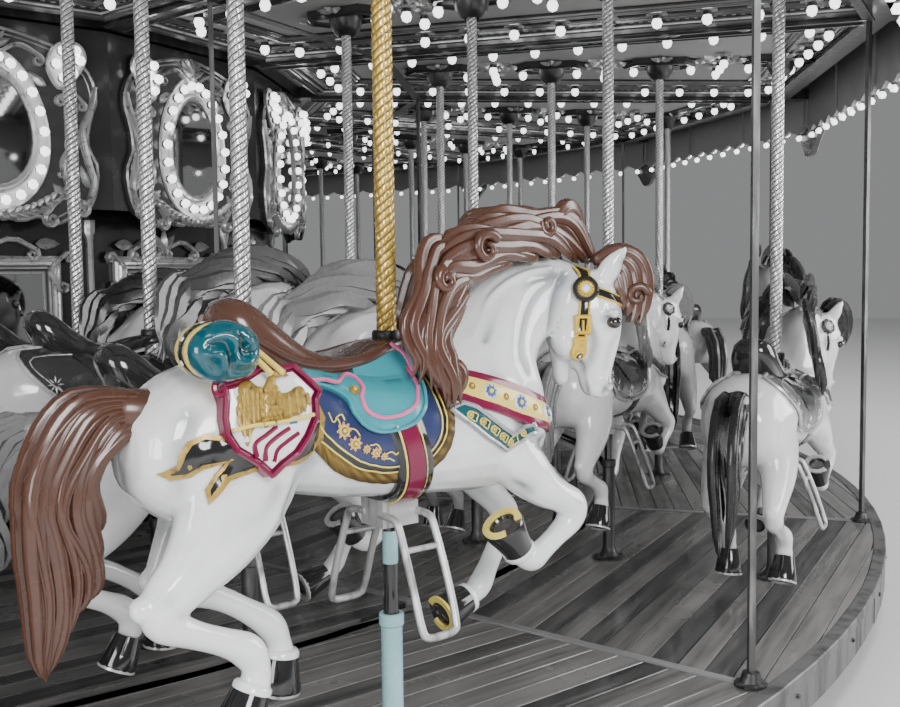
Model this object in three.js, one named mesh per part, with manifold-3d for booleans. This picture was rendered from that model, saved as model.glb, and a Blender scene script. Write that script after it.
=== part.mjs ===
// Fairground carousel, four horses abreast, in millimetres, +Z up.
// The origin is on the turning axis at ground level. Seam 0 between two deck sectors lies along +X.
// The turntable hangs from the centre mast: mast, hub, sweeps, suspension rods, deck.
import * as THREE from 'three';
import { mergeVertices } from 'three/addons/utils/BufferGeometryUtils.js';
import Module from 'manifold-3d';

const wasm = await Module();
wasm.setup();

// Layout
const SECTORS = 16;
const SECTOR = (2 * Math.PI) / SECTORS;
const HALF_SECTOR = SECTOR / 2;
const CHARIOT_RANKS = [5, 6, 9, 10, 13, 14];
const GAP = 0.3;                       // seat between two bolted pieces
const BITE = 10;                       // how far joined or cutting shapes run into each other

// Deck
const DECK_RADIUS = 6250;
const DECK_INNER_RADIUS = 2800;
const DECK_TOP = 250;
const DECK_SEAM_RADIUS = 4820;         // joint between the outer and the inner ring of planks
const DECK_THICKNESS = 60;
const RIM_DEPTH = 140;
const RIM_WIDTH = 40;
const DECK_FACETS = 32;

// Overhead structure
const BEAM_BOTTOM = DECK_TOP + 2456;
const BEAM_HEIGHT = 70;
const BEAM_WIDTH = 120;
const CEILING_THICKNESS = 24;
const ROD_RADIUS = 14;
const OUTER_ROD_RADIUS = 6157;
const INNER_ROD_RADIUS = 3648;
const HANGER_WIDTH = 50;               // flat bar under the sweeps that carries one ring of rods
const HANGER_THICKNESS = 8;
const INNER_RING_RADIUS = 2863;
const RING_WIDTH = 80;
const HUB_RADIUS = 420;
const HUB_HEIGHT = 330;
const MAST_RADIUS = 150;
const MAST_CLEARANCE = 6;
const MAST_FACETS = 12;
const COLLAR_WIDTH = 110;              // thrust collar on the mast, under the hub
const COLLAR_HEIGHT = 60;
const SWEEP_ROOT = 60;                 // the sweeps are let into the hub this far
const OUTER_RING_REACH = 20;           // the outer ring beam stands out over the deck's rim

// Boards
const UPPER_BOARD_BOTTOM = DECK_TOP + 1490;
const BOARD_THICKNESS = 40;
const ROUNDING_RADIUS = 6450;
const ROUNDING_INNER = ROUNDING_RADIUS - BOARD_THICKNESS;
const ROUNDING_BOTTOM = DECK_TOP + 2230;
const ROUNDING_TOP = 3180;
const SHIELD_BOTTOM = DECK_TOP + 2060;
const SHIELD_TOP = ROUNDING_TOP + 40;
const SHIELD_HALF_WIDTH = 170;
const SHIELD_SHOULDER = 260;           // its widest place, above its tip
const SHIELD_THICKNESS = 60;
const SHIELD_SEAT = 5;                 // it is let into the boards by the rest of its thickness

// Roof
const EAVE_Z = 3110;
const APEX_Z = 4200;
const APEX_RADIUS = 380;
const ROOF_THICKNESS = 30;
const FINIAL = [[0, 0], [150, 10], [60, 120], [150, 280], [50, 430], [0, 800]];   // [radius, above the apex]
const FINIAL_FACETS = 8;

// Centre
const HOUSING_RADIUS = 2620;
const HOUSING_TOP = 1950;
const HOUSING_WALL = 50;
const BASE_BEAM = 140;
const BASE_BEAMS = 4;
const BASE_REACH = (HOUSING_RADIUS - HOUSING_WALL) * Math.cos(HALF_SECTOR) - GAP;

// Chariots: x runs outwards, y along the ride
const CHARIOT_INNER = 3950;
const CHARIOT_OUTER = 5750;
const CHARIOT_WALL = 50;
const CHARIOT_HALF = 690;              // half its length
const CHARIOT_HEIGHT = 1050;
const CHARIOT_FLOOR = 60;
const BENCH_FRONT = 210;
const BENCH_REAR = 600;
const BENCH_HEIGHT = 450;
const BACKREST_THICKNESS = 60;
const BACKREST_HEIGHT = 880;

// Horses: one radius and one size for each row, from the rim inwards
const ROW_RADII = [5857, 5147, 4495, 3810];
const ROW_SCALES = [1, 0.95, 0.9, 0.8];
const POLE_RADIUS = 25;
const TUBE_RADIUS = 19;
const POLE_SIDES = 6;
const SLEEVE_RADIUS = 27;
const SLEEVE_HEIGHT = 438;
const SLEEVE_FLOOR = 5;                // the bore stops this far above the planks
const TUBE_PLAY = 0.35;                // the tube slides in its sleeve
const POLE_HOLE_RADIUS = 70;
const BELLY_MID = 620;                 // belly above the deck at mid stroke
const REST_OFFSET = 100;               // a raised or lowered horse rests this far from mid stroke
const REST_LEVELS = [[-1, 0, -1, 1], [1, 0, 1, 1]];   // even ranks, odd ranks: one level for each row
const POLE_TOP = 2120;                 // above the belly
const TUBE_BOTTOM = -480;
const FOOTREST_LEAN = 0.3;
const FOOTREST_OFFSET = 110;           // across the horse, where the footrests hang
const FOOTREST_THICKNESS = 20;
const HEAD_TURN = -0.66;               // the head looks outwards
const HEAD_JOINT = [575, -35];         // [forwards, left] of the axis it turns about
const BARREL = [[0, -590], [165, -480], [175, 280], [0, 430]];   // [radius, forwards]
const BARREL_HEIGHT = 152;             // its middle, above the belly

// A horse's side view outlines, [forwards, up] from the belly on the pole's axis
const NECK = [[60, 300], [-40, 330], [200, 650], [420, 710], [640, 560], [490, 90]];
const HEAD = [[-90, 470], [60, 590], [140, 430], [100, 195], [-100, 250]];   // from its joint
const TAIL = [[-480, 300], [-500, 150], [-810, -235], [-850, 190]];
const NEAR_HIND = [[-610, 160], [-320, 120], [-540, -120], [-405, -345], [-706, -130]];
const FAR_HIND = [[-560, 160], [-280, 120], [-205, -300], [-235, -480], [-560, -130]];
const NEAR_FORE = [[230, 40], [370, 130], [535, -70], [360, -215], [200, -110]];
const FAR_FORE = [[230, 60], [370, 130], [515, -130], [270, -400]];
const FOOTREST = [[-70, -290], [70, -290], [70, 60], [50, 60], [50, -270], [-50, -270], [-50, 60], [-70, 60]];

const finish = (color, roughness, metalness) => new THREE.MeshStandardMaterial({ color, roughness, metalness });
const vec = (x, y, z) => new THREE.Vector3(x, y, z);

// A closed three.js geometry as a solid that can be joined and cut.
function solid(geometry) {
  const bare = geometry.clone();
  bare.deleteAttribute('normal');
  bare.deleteAttribute('uv');
  const merged = mergeVertices(bare, 1e-4);
  return new wasm.Manifold(new wasm.Mesh({
    numProp: 3,
    vertProperties: new Float32Array(merged.attributes.position.array),
    triVerts: new Uint32Array(merged.index.array),
  }));
}

function join(solids) {
  return solids.reduce((whole, piece) => whole.add(piece));
}

function mesh(name, whole, material) {
  const data = whole.getMesh();
  const geometry = new THREE.BufferGeometry();
  geometry.setAttribute('position', new THREE.BufferAttribute(data.vertProperties, data.numProp));
  geometry.setIndex(new THREE.BufferAttribute(data.triVerts, 1));
  geometry.computeVertexNormals();
  const node = new THREE.Mesh(geometry, material);
  node.name = name;
  return node;
}

// A block between two corners.
function block(low, high) {
  const size = vec(...high).sub(vec(...low));
  const geometry = new THREE.BoxGeometry(size.x, size.y, size.z);
  geometry.translate(low[0] + size.x / 2, low[1] + size.y / 2, low[2] + size.z / 2);
  return geometry;
}

// An upright bar with flat sides, its first corner towards +X.
function upright(radius, bottom, top, sides) {
  const corners = Array.from({ length: sides }, (_, i) => (2 * Math.PI * i) / sides)
    .map((angle) => new THREE.Vector2(radius * Math.cos(angle), radius * Math.sin(angle)));
  const shape = new THREE.Shape(corners);
  const geometry = new THREE.ExtrudeGeometry(shape, { depth: top - bottom, bevelEnabled: false });
  return geometry.translate(0, 0, bottom);
}

// A ring or a dome turned about +Z from [radius, z] points that close on themselves or on the axis.
function turned(points, facets) {
  const profile = points.map(([radius, z]) => new THREE.Vector2(radius, z));
  const geometry = new THREE.LatheGeometry(profile, facets);
  geometry.rotateX(Math.PI / 2);
  geometry.rotateZ(Math.PI / 2);
  return geometry;
}

function ring(innerRadius, outerRadius, bottom, top, facets) {
  return turned([
    [innerRadius, bottom], [outerRadius, bottom], [outerRadius, top], [innerRadius, top], [innerRadius, bottom],
  ], facets);
}

// A flat outline in a vertical plane, [across, up], with its thickness running outwards along +X from x.
function board(outline, x, thickness) {
  const shape = new THREE.Shape(outline.map(([across, up]) => new THREE.Vector2(across, up)));
  const geometry = new THREE.ExtrudeGeometry(shape, { depth: thickness, bevelEnabled: false });
  geometry.rotateX(Math.PI / 2);
  geometry.rotateZ(Math.PI / 2);
  geometry.translate(x, 0, 0);
  return geometry;
}

// The same geometry once on each seam between two sectors.
function around(geometry) {
  return Array.from({ length: SECTORS }, (_, i) => solid(geometry.clone().rotateZ(i * SECTOR)));
}

const rankAngle = (rank) => -HALF_SECTOR + rank * SECTOR;
const horseRanks = Array.from({ length: SECTORS }, (_, i) => i).filter((rank) => !CHARIOT_RANKS.includes(rank));

// Base, mast and stationary housing

function makeBaseFrame() {
  const beams = Array.from({ length: BASE_BEAMS }, (_, i) => {
    const beam = block([-BASE_REACH, -BASE_BEAM / 2, 0], [BASE_REACH, BASE_BEAM / 2, BASE_BEAM]);
    return solid(beam.rotateZ(HALF_SECTOR + (i * Math.PI) / BASE_BEAMS));
  });
  const mast = solid(upright(MAST_RADIUS, 0, BEAM_BOTTOM + HUB_HEIGHT, MAST_FACETS));
  const collar = solid(upright(MAST_RADIUS + COLLAR_WIDTH, BEAM_BOTTOM - COLLAR_HEIGHT, BEAM_BOTTOM - GAP,
    MAST_FACETS));
  return mesh('base_frame', join([...beams, mast, collar]), finish(0x3a3a3c, 0.6, 0.7));
}

function makeHousing() {
  const wall = solid(ring(HOUSING_RADIUS - HOUSING_WALL, HOUSING_RADIUS, 0, HOUSING_TOP, SECTORS));
  return mesh('centre_housing', wall, finish(0x1c1c1e, 0.5, 0.1));
}

// Turntable

// One ring of planks with the fixed sleeves of the rows that stand on it.
function makeDeckRing(name, innerRadius, outerRadius, rowRadii) {
  const sleeveTop = DECK_TOP + SLEEVE_HEIGHT;
  const outside = upright(SLEEVE_RADIUS, DECK_TOP - BITE, sleeveTop, POLE_SIDES);
  const bore = upright(TUBE_RADIUS + TUBE_PLAY, DECK_TOP + SLEEVE_FLOOR, sleeveTop + BITE, POLE_SIDES);
  const at = (geometry, angle, radius) => solid(geometry.clone().rotateZ(Math.PI / 2).translate(radius, 0, 0)
    .rotateZ(angle));
  let deck = solid(ring(innerRadius, outerRadius, DECK_TOP - DECK_THICKNESS, DECK_TOP, DECK_FACETS));
  if (outerRadius === DECK_RADIUS) {
    const rim = ring(DECK_RADIUS - RIM_WIDTH, DECK_RADIUS, DECK_TOP - RIM_DEPTH, DECK_TOP, DECK_FACETS);
    deck = deck.add(solid(rim));
  }
  for (const rank of horseRanks) {
    for (const radius of rowRadii) {
      const sleeve = at(outside, rankAngle(rank), radius).subtract(at(bore, rankAngle(rank), radius));
      deck = deck.add(sleeve);
    }
  }
  return mesh(name, deck, finish(0x6f6a64, 0.45, 0));
}

// A ring of thin rods from the sweeps down to the deck, with the flat bar that they hang from.
function makeRods(name, radius) {
  const top = BEAM_BOTTOM - GAP;
  const half = HANGER_WIDTH / 2;
  const hanger = solid(ring(radius - half, radius + half, top - HANGER_THICKNESS, top, SECTORS));
  const rod = upright(ROD_RADIUS, DECK_TOP + GAP, top - HANGER_THICKNESS / 2, 4).translate(radius, 0, 0);
  return mesh(name, join([hanger, ...around(rod)]), finish(0x55565a, 0.4, 0.8));
}

function makeSweepFrame() {
  const top = BEAM_BOTTOM + BEAM_HEIGHT;
  const beamEnd = ROUNDING_INNER - (BEAM_WIDTH / 2) * Math.tan(HALF_SECTOR) - GAP;
  const beam = block([HUB_RADIUS - SWEEP_ROOT, -BEAM_WIDTH / 2, BEAM_BOTTOM], [beamEnd, BEAM_WIDTH / 2, top]);
  const innerRing = solid(ring(INNER_RING_RADIUS - RING_WIDTH, INNER_RING_RADIUS, BEAM_BOTTOM, top, SECTORS));
  const outerEdge = DECK_RADIUS + OUTER_RING_REACH;
  const outerRing = solid(ring(DECK_RADIUS - RING_WIDTH, outerEdge, BEAM_BOTTOM, top, SECTORS));
  const hub = solid(upright(HUB_RADIUS, BEAM_BOTTOM, BEAM_BOTTOM + HUB_HEIGHT, SECTORS));
  const shaft = solid(upright(MAST_RADIUS + MAST_CLEARANCE, BEAM_BOTTOM - BITE, BEAM_BOTTOM + HUB_HEIGHT + BITE,
    MAST_FACETS));
  const frame = join([hub, innerRing, outerRing, ...around(beam)]).subtract(shaft);
  return mesh('sweep_frame', frame, finish(0x2a2a2c, 0.5, 0.6));
}

function makeCeiling() {
  const bottom = BEAM_BOTTOM + BEAM_HEIGHT + GAP;
  const top = bottom + CEILING_THICKNESS;
  let panel = solid(ring(INNER_RING_RADIUS - RING_WIDTH, DECK_RADIUS, bottom, top, SECTORS));
  const hole = upright(POLE_HOLE_RADIUS, bottom - BITE, top + BITE, 4);
  for (const rank of horseRanks) {
    for (const radius of ROW_RADII) {
      panel = panel.subtract(solid(hole.clone().translate(radius, 0, 0).rotateZ(rankAngle(rank))));
    }
  }
  return mesh('ceiling', panel, finish(0x9a9a9a, 0.5, 0.1));
}

function makeUpperBoards() {
  const drum = ring(INNER_RING_RADIUS - BOARD_THICKNESS, INNER_RING_RADIUS - 3, UPPER_BOARD_BOTTOM,
    BEAM_BOTTOM - GAP, SECTORS);
  return mesh('upper_boards', solid(drum), finish(0xb8b8b4, 0.4, 0));
}

function makeRoundingBoards() {
  const boards = solid(ring(ROUNDING_INNER, ROUNDING_RADIUS, ROUNDING_BOTTOM, ROUNDING_TOP, SECTORS));
  const wide = SHIELD_HALF_WIDTH;
  const narrow = wide - 30;
  const shoulder = SHIELD_BOTTOM + SHIELD_SHOULDER;
  const shield = board([
    [-narrow, SHIELD_TOP], [-wide, shoulder], [0, SHIELD_BOTTOM], [wide, shoulder], [narrow, SHIELD_TOP],
  ], ROUNDING_INNER + SHIELD_SEAT, SHIELD_THICKNESS);
  return mesh('rounding_boards', join([boards, ...around(shield)]), finish(0x8d8f90, 0.5, 0));
}

function makeRoof() {
  const eave = ROUNDING_INNER - GAP;
  const cone = solid(turned([
    [eave, EAVE_Z], [eave, EAVE_Z + ROOF_THICKNESS], [APEX_RADIUS, APEX_Z + ROOF_THICKNESS],
    [0, APEX_Z + ROOF_THICKNESS], [0, APEX_Z], [APEX_RADIUS, APEX_Z], [eave, EAVE_Z],
  ], SECTORS));
  const finial = solid(turned(FINIAL.map(([radius, above]) => [radius, APEX_Z + above]), FINIAL_FACETS));
  return mesh('roof', cone.add(finial), finish(0xb0b0ae, 0.8, 0));
}

// One chariot: two scrolled sides, two facing benches and a floor.

function makeChariot(name, rank) {
  const half = CHARIOT_HALF;
  const z = DECK_TOP + GAP;
  const top = z + CHARIOT_HEIGHT;
  const dip = top - 410;
  const near = CHARIOT_INNER + BITE;
  const far = CHARIOT_OUTER - BITE;
  const side = [
    [-half, z + 120], [-half + 90, z], [half - 90, z], [half, z + 120], [half, top - 150], [half - 160, top],
    [half - 330, dip], [-half + 330, dip], [-half + 110, top - 70], [-half, top - 190],
  ];
  const floor = block([near, -BENCH_REAR, z], [far, BENCH_REAR, z + CHARIOT_FLOOR]);
  const bench = (sign) => {
    const across = (a, b) => [Math.min(sign * a, sign * b), Math.max(sign * a, sign * b)];
    const [seatLow, seatHigh] = across(BENCH_FRONT, BENCH_REAR);
    const [backLow, backHigh] = across(BENCH_REAR - BACKREST_THICKNESS + 20, BENCH_REAR + 20);
    const seat = block([near, seatLow, z + CHARIOT_FLOOR / 2], [far, seatHigh, z + BENCH_HEIGHT]);
    const back = block([near, backLow, z + CHARIOT_FLOOR], [far, backHigh, z + BACKREST_HEIGHT]);
    return [solid(seat), solid(back)];
  };
  const walls = [CHARIOT_INNER, CHARIOT_OUTER - CHARIOT_WALL].map((x) => solid(board(side, x, CHARIOT_WALL)));
  const whole = join([...walls, solid(floor), ...bench(-1), ...bench(1)]);
  const node = mesh(name, whole, finish(0x8a8a88, 0.35, 0.1));
  node.rotation.z = rankAngle(rank);
  return node;
}

// One horse with its pole, lower tube and footrests. x runs forwards, z = 0 at the belly on the pole's axis.

// A side view outline, [x, z], as a plate between two places across the horse.
function plate(outline, right, left, scale) {
  const shape = new THREE.Shape(outline.map(([x, z]) => new THREE.Vector2(x * scale, z * scale)));
  const geometry = new THREE.ExtrudeGeometry(shape, { depth: (left - right) * scale, bevelEnabled: false });
  geometry.rotateX(Math.PI / 2);
  return geometry.translate(0, left * scale, 0);
}

function makeHorseSolid(scale) {
  const barrel = turned(BARREL.map(([radius, along]) => [radius * scale, along * scale]), 6);
  barrel.rotateY(Math.PI / 2);
  barrel.translate(0, 0, BARREL_HEIGHT * scale);
  const footrest = (side) => plate(FOOTREST, -FOOTREST_THICKNESS / 2, FOOTREST_THICKNESS / 2, 1)
    .rotateX(side * FOOTREST_LEAN).translate(0, side * FOOTREST_OFFSET * scale, 0);
  const pieces = [
    barrel,
    plate(NECK, -70, 70, scale),
    plate(HEAD, -65, 65, scale).rotateZ(HEAD_TURN).translate(HEAD_JOINT[0] * scale, HEAD_JOINT[1] * scale, 0),
    plate(TAIL, -45, 45, scale),
    plate(NEAR_HIND, -150, -70, scale),
    plate(FAR_HIND, 70, 150, scale),
    plate(NEAR_FORE, -140, -70, scale),
    plate(FAR_FORE, 70, 140, scale),
    upright(POLE_RADIUS, 200 * scale, POLE_TOP, POLE_SIDES),
    upright(TUBE_RADIUS, TUBE_BOTTOM, 100 * scale, POLE_SIDES),
    footrest(-1),
    footrest(1),
  ];
  return join(pieces.map(solid));
}

function placeHorses(group) {
  const solids = ROW_SCALES.map(makeHorseSolid);
  for (const rank of horseRanks) {
    ROW_RADII.forEach((radius, row) => {
      const number = String(rank + 1).padStart(2, '0');
      const node = mesh(`horse_${number}_row_${row + 1}`, solids[row], finish(0xe8e6e2, 0.2, 0));
      const angle = rankAngle(rank);
      const height = DECK_TOP + BELLY_MID + REST_OFFSET * REST_LEVELS[rank % 2][row];
      node.position.set(radius * Math.cos(angle), radius * Math.sin(angle), height);
      node.rotation.z = angle + Math.PI / 2;
      group.add(node);
    });
  }
}

const carousel = new THREE.Group();
carousel.add(makeBaseFrame(), makeHousing());
carousel.add(makeDeckRing('outer_deck', DECK_SEAM_RADIUS, DECK_RADIUS, ROW_RADII.slice(0, 2)));
carousel.add(makeDeckRing('inner_deck', DECK_INNER_RADIUS, DECK_SEAM_RADIUS - GAP, ROW_RADII.slice(2)));
carousel.add(makeRods('outer_rods', OUTER_ROD_RADIUS), makeRods('inner_rods', INNER_ROD_RADIUS));
carousel.add(makeSweepFrame(), makeCeiling());
carousel.add(makeUpperBoards(), makeRoundingBoards(), makeRoof());
CHARIOT_RANKS.forEach((rank, i) => carousel.add(makeChariot(`chariot_${i + 1}`, rank)));
placeHorses(carousel);

export default carousel;
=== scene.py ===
"""Fairground carousel: carving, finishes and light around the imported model, in metres, +Z up.

The front horse, its pole and its tube are in colour. Everything else is in neutral greys.
"""

from __future__ import annotations

import logging
import math
import random
from dataclasses import dataclass, field
from enum import Enum
from functools import lru_cache
from typing import Iterable, Sequence

import bmesh
import bpy
import numpy as np
from mathutils import Matrix, Vector
from mathutils.bvhtree import BVHTree
from mathutils.geometry import delaunay_2d_cdt

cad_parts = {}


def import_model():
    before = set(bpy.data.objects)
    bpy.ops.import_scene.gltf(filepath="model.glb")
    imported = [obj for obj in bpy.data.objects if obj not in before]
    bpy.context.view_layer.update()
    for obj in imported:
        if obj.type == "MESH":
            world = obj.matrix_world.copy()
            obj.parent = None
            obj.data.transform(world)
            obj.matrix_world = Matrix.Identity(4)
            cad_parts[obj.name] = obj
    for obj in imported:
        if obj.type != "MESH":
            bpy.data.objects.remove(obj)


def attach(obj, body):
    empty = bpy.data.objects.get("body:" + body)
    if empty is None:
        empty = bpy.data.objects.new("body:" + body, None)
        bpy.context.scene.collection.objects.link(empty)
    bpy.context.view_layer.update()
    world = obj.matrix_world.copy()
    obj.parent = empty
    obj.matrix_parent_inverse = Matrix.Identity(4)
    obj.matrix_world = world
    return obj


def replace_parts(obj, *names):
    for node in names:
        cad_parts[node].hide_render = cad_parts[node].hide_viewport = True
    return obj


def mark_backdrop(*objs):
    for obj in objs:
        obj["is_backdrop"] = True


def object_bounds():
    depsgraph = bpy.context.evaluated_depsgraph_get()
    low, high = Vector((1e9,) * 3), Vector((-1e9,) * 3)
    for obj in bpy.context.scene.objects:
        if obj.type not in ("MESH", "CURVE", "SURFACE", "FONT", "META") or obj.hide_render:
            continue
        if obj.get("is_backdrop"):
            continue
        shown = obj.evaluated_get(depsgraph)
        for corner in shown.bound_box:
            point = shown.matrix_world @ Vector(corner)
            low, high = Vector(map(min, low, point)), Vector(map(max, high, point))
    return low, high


Array = np.ndarray
Color = tuple[float, float, float]
Point = tuple[float, ...]
log = logging.getLogger("carousel")

# Layout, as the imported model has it
SECTORS = 16
SECTOR = 2 * math.pi / SECTORS
HALF_SECTOR = SECTOR / 2
DECK_TOP = 0.25
DECK_RADIUS = 6.25
DECK_SEAM = 4.82
DECK_INNER = 2.8
BEAM_BOTTOM = DECK_TOP + 2.456
BEAM_HEIGHT = 0.07
RING_RADIUS = 2.863
OUTER_RODS = 6.157
INNER_RODS = 3.648
ROW_RADII = (5.857, 5.147, 4.495, 3.81)
ROW_SCALES = (1.0, 0.95, 0.9, 0.8)
BELLY_MID = 0.62
REST_OFFSET = 0.10
REST_LEVELS = ((-1, 0, -1, 1), (1, 0, 1, 1))
CHARIOT_RANKS = (5, 6, 9, 10, 13, 14)
HORSE_RANKS = tuple(rank for rank in range(SECTORS) if rank not in CHARIOT_RANKS)
FRONT_RANK = 15


def rank_angle(rank: int) -> float:
    """The angle at which a rank of horses stands."""
    return -HALF_SECTOR + rank * SECTOR


# Matrices

def shift(x: float = 0.0, y: float = 0.0, z: float = 0.0) -> Array:
    """A move.

    Args:
        x: How far along x.
        y: How far along y.
        z: How far along z.

    Returns:
        The 4 by 4 matrix.
    """
    matrix = np.eye(4)
    matrix[:3, 3] = (x, y, z)
    return matrix


def turn(axis: int, angle: float) -> Array:
    """A turn about axis 0, 1 or 2.

    Args:
        axis: 0 for x, 1 for y, 2 for z.
        angle: In radians.

    Returns:
        The 4 by 4 matrix.
    """
    matrix = np.eye(4)
    a, b = (axis + 1) % 3, (axis + 2) % 3
    matrix[a, a] = matrix[b, b] = math.cos(angle)
    matrix[b, a] = math.sin(angle)
    matrix[a, b] = -matrix[b, a]
    return matrix


def stretch(x: float, y: float, z: float) -> Array:
    """A scale along each axis."""
    return np.diag((x, y, z, 1.0))


def facing(origin: Sequence[float], out: Sequence[float], up: Sequence[float] = (0, 0, 1)) -> Array:
    """A local frame on a surface: x across, y up, z out of it.

    Args:
        origin: Where the local origin goes.
        out: The direction that local z takes.
        up: The direction that local y leans to.

    Returns:
        The 4 by 4 matrix.
    """
    z = np.asarray(out, float) / np.linalg.norm(out)
    x = np.cross(np.asarray(up, float), z)
    x /= np.linalg.norm(x)
    matrix = np.eye(4)
    matrix[:3, 0], matrix[:3, 1], matrix[:3, 2], matrix[:3, 3] = x, np.cross(z, x), z, origin
    return matrix


SEAMS = [turn(2, i * SECTOR) for i in range(SECTORS)]
BOTH_HALVES = (np.eye(4), stretch(-1, 1, 1))


def around(*ranks: int) -> list[Array]:
    """Turns to the middles of the given ranks' sectors, or of all."""
    return [turn(2, rank_angle(rank)) for rank in (ranks or range(SECTORS))]


def outward(turns: Iterable[Array], radius: float, z: float = 0.0) -> list[Array]:
    """Frames at a radius and height in each turn: x along the ride, y up, z outwards."""
    return [matrix @ facing((radius, 0, z), (1, 0, 0)) for matrix in turns]


def star(count: int, reach: float, centre: Array | None = None) -> list[Array]:
    """Places round a centre in the plane z = 0, with x away from it."""
    middle = np.eye(4) if centre is None else centre
    return [middle @ turn(2, 2 * math.pi * i / count) @ shift(reach) for i in range(count)]


# Curves

def rows(width: int, *millimetres: float) -> Array:
    """Points that are written in mm, one after the other, as rows of so many numbers in metres."""
    return np.array(millimetres, float).reshape(-1, width) / 1000


def unit(vectors: Array) -> Array:
    """Vectors (n, m) with length 1."""
    return vectors / (np.linalg.norm(vectors, axis=1)[:, None] + 1e-12)


def headings(path: Array, loop: bool = False) -> Array:
    """The direction of a line at each of its points.

    Args:
        path: Points (n, 2) or (n, 3).
        loop: Whether the line closes on itself.

    Returns:
        Unit vectors, one for each point.
    """
    ahead = np.roll(path, -1, axis=0) - np.roll(path, 1, axis=0)
    if not loop:
        ahead[0], ahead[-1] = path[1] - path[0], path[-1] - path[-2]
    return unit(ahead)


def edge_normals(outline: Array) -> Array:
    """The inward normals (n, 2) of the edges of a counter-clockwise outline."""
    edge = unit(np.roll(outline, -1, axis=0) - outline)
    return np.column_stack([-edge[:, 1], edge[:, 0]])


def raised(line: Array, z: float) -> Array:
    """A plane line (n, 2) as points (n, 3) at a height."""
    return np.column_stack([line, np.full(len(line), z)])


def curve(points: Sequence[Point], count: int, closed: bool = False) -> Array:
    """A smooth line through a few points.

    Args:
        points: The points, of 2 or more numbers each; every column is smoothed alike.
        count: How many points to give back.
        closed: Whether the line ends where it starts.

    Returns:
        An array of count rows.
    """
    p = np.asarray(points, float)
    n = len(p)
    if closed:
        p = np.vstack([p[-1], p, p[0], p[1]])
        t = np.linspace(0, n, count, endpoint=False)
    else:
        p = np.vstack([2 * p[0] - p[1], p, 2 * p[-1] - p[-2]])
        t = np.linspace(0, n - 1, count)
    i = np.clip(t.astype(int), 0, len(p) - 4)
    f = (t - i)[:, None]
    a, b, c, d = p[i], p[i + 1], p[i + 2], p[i + 3]
    return 0.5 * (2 * b + (c - a) * f + (2 * a - 5 * b + 4 * c - d) * f**2 + (3 * b - a - 3 * c + d) * f**3)


def circle(count: int, radius_a: float = 1.0, radius_b: float | None = None) -> Array:
    """Points round an ellipse in a plane."""
    angle = np.linspace(0, 2 * math.pi, count, endpoint=False)
    return np.column_stack([radius_a * np.cos(angle), (radius_b or radius_a) * np.sin(angle)])


def scroll(start: Point, end: Point, bow: float, curl: float, turns: float = 1.3, count: int = 14) -> Array:
    """A C-scroll in a plane: a bowed line whose two ends roll inwards.

    Args:
        start: Where the bowed line starts, before its curl.
        end: Where it ends.
        bow: How far its middle stands to the left of the straight line.
        curl: Radius of the two curls.
        turns: Turns in each curl.
        count: Points in each of the three stretches.

    Returns:
        Points (n, 2).
    """
    a, b = np.asarray(start, float), np.asarray(end, float)
    way = b - a
    left = np.array([-way[1], way[0]]) / np.linalg.norm(way)
    middle = curve([a, (a + b) / 2 + left * bow, b], count)
    side = -1.0 if bow > 0 else 1.0

    def roll(tip: Array, heading: Array, hand: float) -> Array:
        """The curl that goes on from a tip.

        Args:
            tip: Where the curl starts.
            heading: The line's direction there.
            hand: 1 to roll to the left, -1 to the right.

        Returns:
            Points (n, 2).
        """
        normal = np.array([-heading[1], heading[0]]) * hand
        steps = np.linspace(0, 1, count + 1)[1:]
        radius = curl * (1 - 0.8 * steps)
        angle = steps * turns * 2 * math.pi
        centre = tip + normal * curl
        return centre - normal * (radius * np.cos(angle))[:, None] + heading * (radius * np.sin(angle))[:, None]

    ahead = headings(middle)
    return np.vstack([roll(a, -ahead[0], -side)[::-1], middle, roll(b, ahead[-1], side)])


def mirrored(right: Sequence[Point], top: Point, count: int) -> Array:
    """A closed smooth outline from its right half, which starts at x = 0."""
    left = [(-x, y) for x, y in right[:0:-1]]
    return curve([*right, top, *left], count, True)


class Cap(Enum):
    """How the end of a skin is closed."""

    OPEN = "open"
    FLAT = "flat"
    POINT = "point"


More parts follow.
